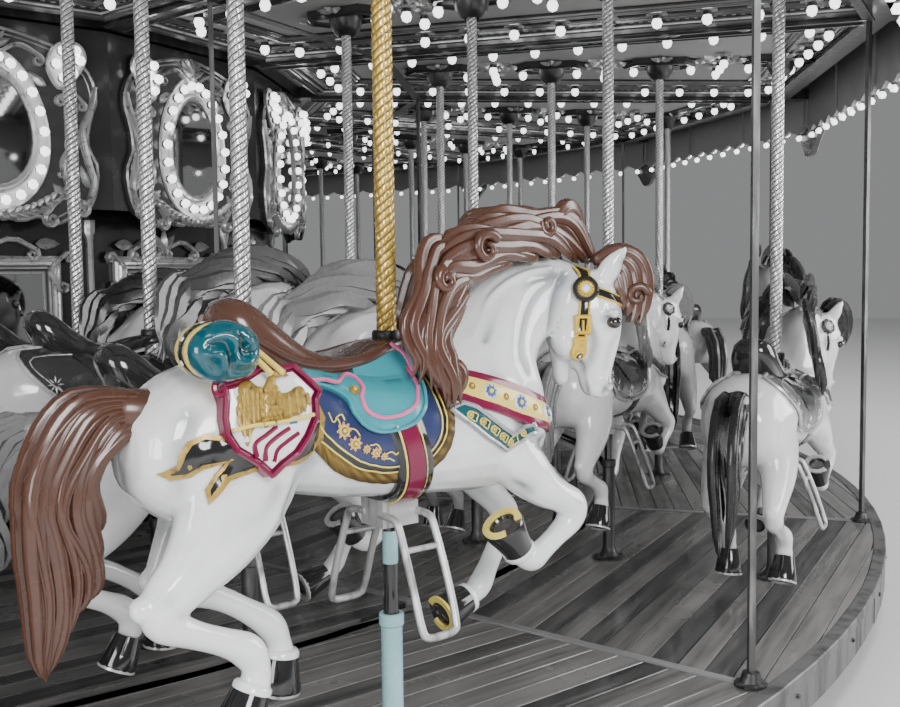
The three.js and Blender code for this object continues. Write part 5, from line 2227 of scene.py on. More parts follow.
@dataclass
class Pole:
    """The twisted sleeve through a horse, its collar, the tube below and the footrests."""

    scale: float
    twist: Finish
    tube: Finish
    sides: int = 18
    step: float = 0.011
    rest: Finish = Paint.RUNG

    # Heights from the belly: the twist's upper end, its lower end and the collar's top, the last two for scale 1
    TOP = 2.115
    LOW = 0.30
    COLLAR = 0.403
    # The twist: its strands, how far it rises between two of them, and the lines that cross them
    LOBES = 5
    PITCH = 0.020
    CROSSINGS = 3.0
    CROSSING_PITCH = 0.093
    RADIUS = 0.0242
    GROOVE = 0.0030

    def sleeve(self) -> Draft:
        """The rope-twisted tube from the saddle to above the ceiling, with crossing lines in its strands.

        Returns:
            The draft.
        """
        low, high = self.LOW * self.scale, self.TOP
        z = np.linspace(low, high, int((high - low) / self.step))[:, None]
        angle = np.linspace(0, 2 * math.pi, self.sides, endpoint=False)[None]
        groove = self.GROOVE if self.step < self.PITCH / 3 else 0.0
        strand = np.sin(angle * self.LOBES / 2 - z / self.PITCH * math.pi)
        radius = self.RADIUS - groove * np.exp(-((strand / 0.35) ** 2))
        rings = np.stack([radius * np.cos(angle), radius * np.sin(angle), np.broadcast_to(z, radius.shape)], -1)
        return skin(rings, self.twist)

    def draft(self) -> Draft:
        """The whole pole in its horse's frame.

        Returns:
            The draft.
        """
        s = self.scale
        draft = self.sleeve()
        top = self.COLLAR * s
        collar = rows(2, 23, -28, 33, -28, 35.5, -20, 35.5, -6, 32, 0, 23, 0) + (0, top)
        ring = rows(2, 23, -46, 30, -44, 33, -36, 30, -29, 23, -28) + (0, top)
        draft.join(lathe(collar, 20, Paint.COLLAR, True)).join(lathe(ring, 20, self.twist, True))
        draft.join(lathe([(0.0185, -0.478), (0.0185, 0.06 * s)], 12, Paint.BLACK))
        if self.tube is Paint.TUBE_BLUE:
            draft.join(lathe(rows(2, 18.8, -160, 19.2, -155, 19.2, -85, 18.8, -80), 12, self.tube, True))
        draft.join(box((-0.052, -0.045, -0.062), (0.052, 0.045, 0.012), self.rest, 0.006))
        draft.join(lathe(rows(2, 19, -68, 28, -68, 30, -60, 19, -60), 12, self.rest, True))
        for side in (-1, 1):
            out = 0.11 * s
            near = [(0.048, 0.03, -0.03), (0.050, out - 0.02, -0.035), (0.050, out, -0.06),
                    (0.051, out + 0.045, -0.17), (0.049, out + 0.078, -0.268), (0.036, out + 0.084, -0.287)]
            loop = [(-x, y, z) for x, y, z in near] + [(0.0, out + 0.085, -0.290)] + near[::-1]
            loop = curve(loop, 36) * (1, side, 1)
            draft.join(tube(loop, 0.0095, self.rest, 8 if self.sides > 12 else 4))
            bar = np.array([(-0.050, side * (out + 0.016), -0.10), (0.050, side * (out + 0.016), -0.10)])
            draft.join(tube(bar, 0.0075, self.rest, 8))
        return draft


# Strands of hair: (x, outwards, z) along the mane, (x, z) in the tail, (along the head, z) in the forelock
MANE = (rows(3, 694, 20, 572, 602, 35, 657, 468, 50, 682, 335, 60, 690, 208, 70, 653),
        rows(3, 673, 20, 557, 570, 33, 638, 446, 47, 675, 313, 57, 667, 201, 66, 640, 125, 70, 615),
        rows(3, 610, 40, 559, 510, 60, 622, 389, 80, 652, 268, 94, 638, 148, 102, 630, 45, 110, 585),
        rows(3, 543, 40, 571, 437, 62, 617, 312, 84, 619, 202, 97, 612, 95, 106, 586, 20, 114, 540),
        rows(3, 445, 60, 573, 323, 85, 592, 202, 110, 574, 105, 120, 572, 30, 130, 510),
        rows(3, 358, 60, 566, 237, 89, 557, 127, 113, 549, 60, 124, 495, 20, 132, 440),
        rows(3, 273, 60, 540, 174, 89, 527, 104, 113, 486, 46, 130, 425, 12, 142, 370),
        rows(3, 150, 85, 600, 60, 100, 607, 3, 122, 553, -15, 144, 485, -45, 153, 413, -30, 160, 345, -52, 164, 300),
        rows(3, 150, 95, 570, 80, 105, 585, 36, 122, 537, 5, 144, 464, -30, 155, 401, -12, 162, 335, -35, 166, 285),
        rows(3, 180, 100, 530, 100, 120, 540, 48, 142, 460, 0, 158, 400, 4, 164, 330, 22, 168, 252),
        rows(3, 164, 110, 519, 87, 138, 462, 12, 160, 403, 18, 170, 338, 48, 174, 270, 40, 174, 225),
        rows(3, 136, 120, 477, 70, 146, 413, 28, 167, 350, 62, 174, 290, 62, 176, 225),
        rows(3, 103, 125, 427, 45, 152, 360, 74, 172, 302, 78, 176, 236))
FORELOCK = (rows(2, 60, 560, 125, 592, 178, 570, 206, 505, 204, 444, 183, 388),
            rows(2, 70, 555, 130, 570, 168, 540, 182, 480, 178, 430, 160, 396),
            rows(2, 80, 545, 130, 545, 154, 505, 160, 450, 150, 415),
            rows(2, 80, 530, 126, 520, 140, 475, 141, 430))
TAIL = (rows(2, -600, 292, -741, 302, -815, 242, -853, 145, -854, 36, -845, -83, -846, -202, -826, -245),
        rows(2, -600, 284, -733, 291, -802, 229, -840, 128, -830, 20, -821, -96, -830, -186, -824, -236),
        rows(2, -602, 274, -722, 276, -784, 211, -820, 113, -795, 7, -792, -106, -815, -190, -820, -228),
        rows(2, -605, 262, -706, 259, -765, 185, -790, 89, -753, -13, -760, -93, -781, -130),
        rows(2, -608, 250, -691, 241, -742, 170, -753, 92, -740, 13, -731, -70, -756, -112),
        rows(2, -610, 236, -679, 224, -721, 176, -736, 113, -728, 56, -735, 10))


@dataclass
class Hair:
    """Mane, forelock and tail in carved strands."""

    finish: Finish
    level: int = 2
    seed: int = 7

    # Rings, sides and ribs of a strand at each level of detail
    DETAIL = ((7, 5, 1), (11, 8, 2), (26, 18, 3))

    def strand(self, points: Array, width: float, depth: float, wave: float, phase: float) -> Draft:
        """One ribbed strand along a line."""
        count, sides, ribs = self.DETAIL[self.level]
        return lock(points, width, depth, self.finish, wave, 1.6, ribs, count, sides, (0, 1, 0), phase)

    def bundle(self, strands: Sequence[Sequence[Point]], count: int = 12) -> list[Array]:
        """The strands as smooth lines: every other one, all, or one more between each two.

        Args:
            strands: The strands, side by side.
            count: Points of each line.

        Returns:
            The lines.
        """
        lines = [curve(strand, count) for strand in strands]
        between = [(a + b) / 2 for a, b in zip(lines, lines[1:])]
        return (lines[::2], lines, lines + between)[self.level]

    def mane(self) -> Draft:
        """Strands that run back along the crest and fall over the near shoulder, less far on the other.

        Returns:
            The draft.
        """
        draft, chance = Draft(), random.Random(self.seed)
        lines = self.bundle(MANE)
        width, depth = ((0.034, 0.024), (0.028, 0.020), (0.025, 0.019))[self.level]
        for side in (-1, 1):
            for i, line in enumerate(lines):
                between = i >= len(MANE)
                path = line * (1, side, 1) + (0, side * (0.013 if between else 0.0), 0)
                if side > 0:
                    path[:, 0] += 0.19 * np.clip((0.32 - line[:, 0]) / 0.25, 0, 1)
                scale = 0.70 if between else chance.uniform(0.85, 1.15)
                draft.join(self.strand(path, width * scale, depth * scale, chance.uniform(0.006, 0.016),
                                       chance.uniform(0, 6)))
        if self.level < 2:
            return draft
        for middle, size, lean in (((0.205, -0.128, 0.594), 0.040, 0.3), ((0.062, -0.150, 0.520), 0.026, 1.6),
                                   ((0.455, -0.075, 0.655), 0.030, 2.6)):
            draft.join(self.ringlet(middle, size, 0.85, 0.010, 1.3, (0.016, 0.006), lean))
        crown = rows(3, 640, -20, 625, 606, -30, 690, 560, -40, 705, 522, -45, 672, 530, -50, 640)
        return draft.join(self.strand(crown, 0.026, 0.024, 0.0, 0.0))

    def ringlet(self, middle: Point, size: float, taper: float, out: float, turns: float,
                thick: tuple[float, float], lean: float = 0.0, count: int = 36) -> Draft:
        """A curl that rolls up in a spiral on the near side.

        Args:
            middle: Its centre.
            size: Its first radius.
            taper: The share of that radius that it loses on its way.
            out: How far its inner end stands out.
            turns: Its turns.
            thick: Radius of the lock at its outer and inner end.
            lean: The angle at which it starts.
            count: Rings along it.

        Returns:
            The draft.
        """
        share = np.linspace(0, 1, count)
        angle = 2 * math.pi * turns * share + lean
        radius = size * (1 - taper * share)
        path = np.column_stack([radius * np.cos(angle), -out * share, radius * np.sin(angle)]) + middle
        return sweep(path, circle(8), self.finish, np.linspace(*thick, count), Cap.POINT, Cap.POINT, up=(0, 1, 0))

    def forelock(self, head: Array) -> Draft:
        """Strands between the ears that fall over the forehead.

        Args:
            head: The head's frame.

        Returns:
            The draft.
        """
        draft = Draft()
        for i, strand in enumerate(FORELOCK):
            for j, y in enumerate((-0.034, -0.012, 0.012, 0.034) if self.level > 1 else (-0.02, 0.02)):
                path = curve(strand, 12)
                path = np.column_stack([path[:, 0], y * np.linspace(0.7, 1.1, 12), path[:, 1]])
                draft.join(self.strand(path, 0.020, 0.015, 0.004, i + 1.7 * j), head)
        if self.level > 1:
            draft.join(self.ringlet((0.178, -0.044, 0.470), 0.030, 0.8, 0.008, 1.1, (0.013, 0.005), count=30), head)
        return draft

    def tail(self) -> Draft:
        """Combed strands that arch from the dock and fall.

        Returns:
            The draft.
        """
        draft, chance = Draft(), random.Random(self.seed)
        t = np.linspace(0, 1, 14)
        for i, flat in enumerate(self.bundle(TAIL, 14)):
            for side in (-1, 1):
                y = side * np.interp(t, (0, 0.15, 0.6, 1), (0.020, 0.032, 0.032, 0.010))
                twist = 0.012 * np.sin(2 * math.pi * 1.15 * t + 0.8) * np.sin(math.pi * t) + 0.012 * np.sin(math.pi * t)
                path = np.column_stack([flat[:, 0] + twist, y, flat[:, 1]])
                width = chance.uniform(0.013, 0.021) * (1.0 if self.level else 1.5)
                draft.join(self.strand(path, width, chance.uniform(0.015, 0.022), chance.uniform(0.003, 0.009),
                                       0.7 * i))
        dock = rows(3, -575, 0, 258, -610, 0, 262, -655, 0, 266, -700, 0, 258)
        return draft.join(sweep(dock, circle(12), self.finish, np.array([(0.050, 0.048)] * 3 + [(0.020, 0.026)])))

    def all(self, head: Array) -> Draft:
        """Every strand."""
        return self.mane().join(self.forelock(head)).join(self.tail())


def medal(radius: float, disc: Finish, ring: Finish, gem: Finish, spokes: Finish | None = None,
          sides: int = 16) -> Draft:
    """A round boss with a raised rim, a ring and a jewel, looking along z.

    Args:
        radius: Its radius.
        disc: The plate's finish.
        ring: The ring's finish.
        gem: The jewel's finish.
        spokes: The finish of eight petals, if it has them.
        sides: Points round it.

    Returns:
        The draft.
    """
    r = radius
    draft = lathe([(r, -0.3 * r), (1.04 * r, 0.14 * r), (0.92 * r, 0.26 * r), (0.82 * r, 0.14 * r), (0, 0.14 * r)],
                  sides, disc)
    draft.join(lathe([(0.34 * r, 0.12 * r), (0.36 * r, 0.34 * r), (0.5 * r, 0.40 * r), (0.64 * r, 0.26 * r),
                      (0.66 * r, 0.12 * r)], sides, ring, True))
    draft.join(ball(0.37 * r, gem, sides // 2, 5, 0.7), shift(z=0.22 * r))
    if spokes:
        petal = leaf(0.30 * r, 0.20 * r, 0.12 * r, spokes, 1)
        draft.join(petal, *star(8, 0.62 * r, shift(z=0.18 * r)))
    return draft


def drawn_in(outline: Sequence[Point], amount: float) -> Array:
    """A closed outline (n, 2) moved inwards, or outwards by a negative amount.

    Args:
        outline: The corners (n, 2).
        amount: How far inwards.

    Returns:
        The new corners (n, 2).
    """
    flat = np.asarray(outline, float)
    area = np.cross(flat, np.roll(flat, -1, axis=0)).sum()
    normal = edge_normals(flat) * np.sign(area)
    inward = normal + np.roll(normal, 1, axis=0)
    return flat + amount * inward / np.maximum((inward**2).sum(1)[:, None] / 2, 0.5)


# The seat's cross-sections: x, its edge's height, its middle's height, half its width
SEAT_ROWS = rows(4, -458, 438, 442, 30, -441, 432, 470, 62, -410, 410, 482, 80, -365, 379, 463, 88, -310, 349, 416, 92,
                 -252, 334, 371, 96, -190, 332, 350, 98, -120, 341, 356, 92, -55, 357, 374, 74, 0, 366, 378, 52,
                 20, 362, 368, 28)


@dataclass
class Tack:
    """Saddle, cloths, straps and bridle on a figure."""

    figure: Figure
    fine: bool = True

    def seat(self, leather: Finish) -> Draft:
        """The saddle's rolled seat, high at the back.

        Args:
            leather: Its finish.

        Returns:
            The draft.
        """
        stations = curve(SEAT_ROWS, 44 if self.fine else 14)
        rings = [ellipse_ring((x, 0, low), (0, half, 0), (0, 0, top - low + 0.008), 30 if self.fine else 12, 2.4)
                 for x, low, top, half in stations]
        draft = skin(np.array(rings), leather)
        x, low, top, half = stations[2:-2].T
        for side in (-1, 1) if self.fine else ():
            for inset, lift, size in ((0.0, 0.0, 0.013), (0.022, 0.75, 0.003), (0.034, 0.85, 0.003)):
                path = np.column_stack([x, side * (half - inset - 0.008), low + lift * (top - low) + 0.5 * size])
                draft.join(tube(path, size, leather, 8 if size > 0.01 else 4))
        return draft

    def skirt(self, leather: Finish, piping: Finish) -> Draft:
        """The leather that hangs from the seat's edge to the flap on each side.

        Args:
            leather: Its finish.
            piping: The finish of its front edge.

        Returns:
            The draft.
        """
        draft = Draft()
        stations = [station for station in curve(SEAT_ROWS, 60) if station[0] > -0.17]
        for side in (-1, 1):
            rings = []
            for x, low, _, half in stations:
                top = np.array((x, side * (half - 0.012), low + 0.010))
                foot, normal = self.figure.drop(x, np.interp(x, (-0.17, -0.08), (0.340, 0.322)), side, 0.0205)
                middle = (top + foot) / 2 + normal * 0.003
                under = (foot - normal * 0.012, middle - normal * 0.02, top - (0, side * 0.012, 0))
                rings.append([top, middle, foot, *under])
            draft.join(skin(np.array(rings), leather))
            edge = [self.figure.drop(-0.006, 0.290, side, 0.0265)[0], self.figure.drop(-0.009, 0.318, side, 0.0265)[0],
                    (-0.020, side * 0.094, 0.352), (-0.040, side * 0.070, 0.376)]
            draft.join(tube(curve(edge, 14), 0.005, piping))
        return draft

    def bedroll(self, cloth: Finish, bands: Sequence[Finish], gem: Finish) -> Draft:
        """A rolled blanket behind the seat that hangs over the outer side in a banded, crumpled pouch.

        Args:
            cloth: The blanket's finish.
            bands: The finishes of its bands.
            gem: The jewels' finish.

        Returns:
            The draft.
        """
        sides = 36
        angle = np.linspace(0, 2 * math.pi, sides, endpoint=False)
        # the pouch's axis, its outer end and its two radii
        axis, z, end, reach, tall = -0.517, 0.388, -0.209, 0.075, 0.061
        chance = random.Random(11)
        waves = [(chance.randint(2, 6), chance.uniform(0, 6), chance.uniform(20, 60)) for _ in range(6)]

        def ring(x: float, y: float, size: float) -> Array:
            """One crumpled ring.

            Args:
                x: Its middle.
                y: Its place along the roll.
                size: Its size, 1 for the full one.

            Returns:
                Points (sides, 3).
            """
            fold = sum(math.sin(y * f + p) * np.sin(k * angle + p) for k, p, f in waves) * 0.014
            size = size * (1 + fold)
            return np.column_stack([x + reach * size * np.cos(angle), np.full(sides, y),
                                    z + tall * size * np.sin(angle)])

        line = curve([(-0.410, 0.010, 0.40), (-0.440, -0.035, 0.50), (-0.478, -0.070, 0.62), (-0.505, -0.095, 0.76),
                      (-0.516, -0.114, 0.84), (-0.517, -0.135, 0.84), (-0.517, -0.157, 0.86), (-0.517, -0.170, 0.97),
                      (-0.517, -0.186, 1.00), (-0.517, -0.200, 0.92), (-0.517, -0.209, 0.80)], 34)
        rings = [ring(*spot) for spot in line]
        for share in np.linspace(1, 0.04, 18)[1:]:
            rim = ring(axis, end, 0.80 * share)
            u, v = share * np.cos(angle), share * np.sin(angle)
            fold = 0.012 * np.sin(4.1 * u + 5.3 * v + 2.2 * np.sin(3.1 * u - 1.7 * v)) * (1 - share**4)
            dent = -0.020 * np.exp(-(((u - 0.25) / 0.32) ** 2 + ((v - 0.05) / 0.42) ** 2)) * (1 - share**6)
            rim[:, 1] -= 0.020 * (1 - share**2) + fold + dent
            rings.append(rim)
        draft = skin(np.array(rings), cloth, Cap.POINT, Cap.POINT)
        out = np.column_stack([np.cos(angle), np.zeros(sides), np.sin(angle)])
        for i, band in enumerate(bands):
            size = 0.885 + 0.03 * (i % 2)
            path = np.column_stack([axis + reach * size * np.cos(angle), np.full(sides, -0.117 - 0.018 * i),
                                    z + tall * size * np.sin(angle)])
            draft.join(strap(path, out, 0.010, 0.004, band, True))
        jewel = ball(0.0065, gem, 10, 6, 0.7)
        for lean in (1.9, 2.7, 3.5):
            way = (math.cos(lean), 0, math.sin(lean))
            draft.join(jewel, facing((axis + reach * 0.94 * way[0], -0.135, z + tall * 0.94 * way[2]), way, (0, 1, 0)))
        for a, b in (((-0.452, 0.392), (-0.425, 0.340)), ((-0.426, 0.385), (-0.398, 0.340))):
            path = np.column_stack([np.linspace(a[0], b[0], 5), np.linspace(-0.140, -0.200, 5),
                                    np.linspace(a[1], b[1], 5)])
            draft.join(tube(path, 0.0065, bands[0], 8))
        return draft

    def hoop(self, x: float, low: float, lean: float = 0.0) -> tuple[Array, Array]:
        """A line round the belly at x, from one side to the other, and its normals.

        Args:
            x: Its place along the horse.
            low: How far up each side it reaches, as an angle from straight down.
            lean: How far forwards the line is at the bottom.

        Returns:
            The line's points and the surface's normals, each (n, 3).
        """
        points, normals = [], []
        for angle in np.linspace(-low, low, 40):
            way = Vector((0.0, math.sin(angle), -math.cos(angle)))
            origin = Vector((x + lean * math.cos(angle), 0, 0.17)) + way * CLEAR
            hit, normal, _, _ = self.figure.surface.ray_cast(origin, -way)
            if hit is not None:
                points.append(hit)
                normals.append(normal if normal.dot(way) > 0 else -normal)
        return np.array(points), np.array(normals)

    def around_chest(self, side_line: Sequence[Point], front: Point) -> tuple[Array, Array]:
        """A line from the right shoulder round the chest's front to the left shoulder.

        Args:
            side_line: The line on a side, from back to front (x, z).
            front: Its foremost point (x, z).

        Returns:
            The line's points and the surface's normals, each (n, 3).
        """
        right, left = ([self.figure.drop(x, z, side) for x, z in curve(side_line, 16)] for side in (-1, 1))
        left.reverse()
        a, b = right[-1][0], left[0][0]
        middle = []
        for t in np.linspace(0, 1, 14)[1:-1]:
            angle = math.pi * t
            guess = (a + b) / 2 + np.array([(front[0] - a[0]) * math.sin(angle), (a[1] - b[1]) / 2 * math.cos(angle),
                                            (front[1] - a[2]) * math.sin(angle)])
            hit, normal, _, _ = self.figure.surface.find_nearest(Vector(guess))
            middle.append((np.array(hit), np.array(normal)))
        points, normals = zip(*right, *middle, *left)
        return self.eased(np.array(points), np.array(normals), 3)

    def eased(self, line: Array, out: Array, times: int) -> tuple[Array, Array]:
        """A line and its normals with their small bends smoothed away.

        Args:
            line: Points (n, 3), which are changed.
            out: Normals (n, 3), which are changed.
            times: How often they are smoothed.

        Returns:
            The line and the normals.
        """
        for _ in range(times):
            line[1:-1] = (line[:-2] + 2 * line[1:-1] + line[2:]) / 4
            out[1:-1] = (out[:-2] + 2 * out[1:-1] + out[2:]) / 4
        return line, out / np.linalg.norm(out, axis=1)[:, None]

    def cling(self, path: Sequence[Point], frame: Array, count: int = 20) -> tuple[Array, Array]:
        """A smooth line in a frame, laid on the nearest surface.

        Args:
            path: Points in the frame.
            frame: The frame.
            count: How many points to give back.

        Returns:
            The line's points and the surface's normals, each (n, 3).
        """
        points, normals = [], []
        for p in curve(path, count):
            world = frame[:3, :3] @ p + frame[:3, 3]
            hit, normal, _, _ = self.figure.surface.find_nearest(Vector(world))
            if normal.dot(Vector(world) - hit) < 0 and (Vector(world) - hit).length > 0.004:
                normal = -normal
            points.append(hit)
            normals.append(normal)
        return self.eased(np.array(points), np.array(normals), 6)

    def banded(self, line: Array, out: Array, half: float, base: Finish, edge: Finish, thick: float = 0.004,
               loop: bool = False) -> Draft:
        """A strap with a rounded edge on both sides.

        Args:
            line: Its middle line (n, 3).
            out: The surface's normals (n, 3).
            half: Half its width.
            base: Its finish.
            edge: The finish of its edges.
            thick: Its thickness.
            loop: Whether it closes on itself.

        Returns:
            The draft.
        """
        draft = strap(line, out, half, thick, base, loop)
        across = unit(np.cross(out, np.gradient(line, axis=0)))
        for side in (-1, 1):
            draft.join(tube(line + across * half * side + out * thick * 0.7, thick * 0.8, edge, 6, loop))
        return draft

    def bridle(self, leather: Finish, trim: Finish, gem: Finish) -> Draft:
        """Poll strap, brow band, cheek straps with buckle and plate, and rosettes.

        Args:
            leather: The straps' finish.
            trim: The finish of the edges and the metal.
            gem: The jewels' finish.

        Returns:
            The draft.
        """
        head = head_frame(self.figure.gait.head_turn)
        draft = Draft()
        for side in (-1, 1):
            cheek = rows(3, 30, 30, 565, 36, 58, 530, 36, 75, 490, 32, 88, 440, 27, 90, 390, 18, 86, 340,
                         14, 70, 300) * (1, side, 1)
            line, out = self.cling(cheek, head, 40 if self.fine else 10)
            draft.join(self.banded(line + out * 0.002, out, 0.0125, leather, trim, 0.0038))

            def spot(z: float, lift: float) -> Array:
                """A frame on the cheek strap at a height."""
                i = int(np.abs(line[:, 2] - z).argmin())
                return facing(line[i] + out[i] * lift, out[i])

            draft.join(medal(0.034, leather, trim, gem, None, 24 if self.fine else 8), spot(0.490, 0.010))
            if not self.fine:
                continue
            stud = ball(0.0022, leather, 4, 3)
            draft.join(stud, *star(14, 0.018, spot(0.490, 0.0225)))
            section = rows(2, 0, 0, 0, 6, 4, 9.5, 9.5, 6, 9.5, 0)
            draft.join(moulding(oblong(-0.023, -0.026, 0.023, 0.026), section, trim), spot(0.400, 0.004))
            draft.join(box((-0.003, -0.02, 0.002), (0.003, 0.012, 0.009), trim, 0.002), spot(0.400, 0.004))
            outline = rows(2, 0, -34, 16, -29, 23, -12, 19, 12, 22, 26, 0, 30, -22, 26, -19, 12, -23, -12, -16, -29)
            plate = curve(outline, 36, True)
            draft.join(slab(plate, 0.007, trim, 0.003, -0.006, 0.0025), spot(0.338, 0.005))
            for lean in (-0.5, 0.5):
                draft.join(leaf(0.026, 0.007, 0.004, trim, 1), spot(0.354, 0.011) @ turn(2, math.pi / 2 + lean)
                           @ shift(x=-0.013))
            draft.join(medal(0.0145, trim, leather, gem), spot(0.324, 0.012))
        brow = rows(3, 45, -77, 488, 75, -74, 482, 110, -62, 468, 138, -34, 455, 147, 0, 452, 138, 34, 455,
                    110, 62, 468, 75, 74, 482, 45, 77, 488)
        line, out = self.cling(brow, head, 36 if self.fine else 12)
        return draft.join(self.banded(line + out * 0.002, out, 0.0115, leather, trim, 0.0036))

    def eyes(self) -> Draft:
        """Glass eyes and teeth.

        Returns:
            The draft.
        """
        head = head_frame(self.figure.gait.head_turn)
        draft = Draft()
        for side in (-1, 1):
            place = head @ shift(0.112, side * 0.064, 0.402) @ stretch(1.15, 1, 0.9)
            draft.join(ball(0.0185, Paint.EYE, 14, 9), place)
            for i in range(4):
                z = 0.206 + 0.009 * i
                draft.join(box((-0.004, -0.004, -0.004), (0.004, 0.004, 0.004), Paint.CREAM, 0.0015),
                           head @ shift(0.060 + 0.001 * i, side * (0.024 + 0.003 * i), z))
        return draft


# Outlines of the front horse's dress, seen from its side (x, z)
DRAPE = rows(2, -517, 220, -551, 227, -579, 213, -591, 192, -599, 167, -629, 154, -609, 141, -578, 145, -554, 160,
             -512, 169, -534, 145, -551, 117, -547, 87, -530, 103, -506, 130, -450, 143, -397, 142, -352, 146,
             -309, 161, -282, 189, -276, 232, -290, 275, -350, 290, -450, 270)
CLOTH = rows(2, -295, 320, -287, 290, -291, 250, -275, 196, -202, 140, -143, 118, -86, 111, -11, 128, 24, 165, 32, 204,
             26, 257, 29, 309, 10, 345, -100, 340, -200, 330)
FRINGE = rows(2, -310, 196, -297, 165, -250, 118, -189, 89, -127, 72, -70, 68, 6, 86, 50, 122, 68, 170, 70, 220,
              60, 275)
FLAP = rows(2, -338, 318, -317, 305, -286, 292, -248, 280, -216, 259, -206, 231, -182, 206, -144, 190, -97, 190,
            -43, 202, -13, 228, 3, 265, 16, 306, 24, 340, -40, 352, -150, 340, -250, 338)
PINK_LINE = rows(2, -331, 297, -271, 293, -227, 284, -193, 294, -170, 289, -165, 271, -181, 252, -173, 228, -137, 213,
                 -83, 215, -43, 231, -19, 257, -8, 289, -4, 325)
SHIELD = rows(2, -515, 318, -486, 323, -450, 337, -425, 349, -395, 340, -350, 345, -325, 322, -293, 290, -306, 272,
              -309, 236, -336, 197, -367, 167, -405, 148, -432, 131, -462, 160, -502, 188, -520, 219, -522, 253,
              -515, 289)
EAGLE_WINGS = (rows(2, -432, 300, -446, 312, -458, 322, -474, 320, -487, 305, -495, 280, -497, 250, -492, 220,
                    -482, 194, -472, 208, -458, 230, -434, 244),
               rows(2, -412, 298, -395, 294, -375, 294, -352, 304, -334, 296, -328, 275, -334, 254, -348, 244,
                    -370, 240, -412, 240))
EAGLE_BODY = rows(2, -424, 316, -412, 328, -402, 318, -399, 295, -400, 270, -410, 248, -424, 232, -440, 224, -448, 244,
                  -447, 268, -440, 294)
BREAST = rows(2, 61, 222, 113, 185, 168, 147, 233, 109, 289, 127, 330, 148, 318, 165, 285, 153, 252, 144, 188, 183,
              137, 220, 100, 232)
BOSSES = rows(2, 112, 205, 148, 186, 181, 166, 211, 146, 240, 127, 285, 141)


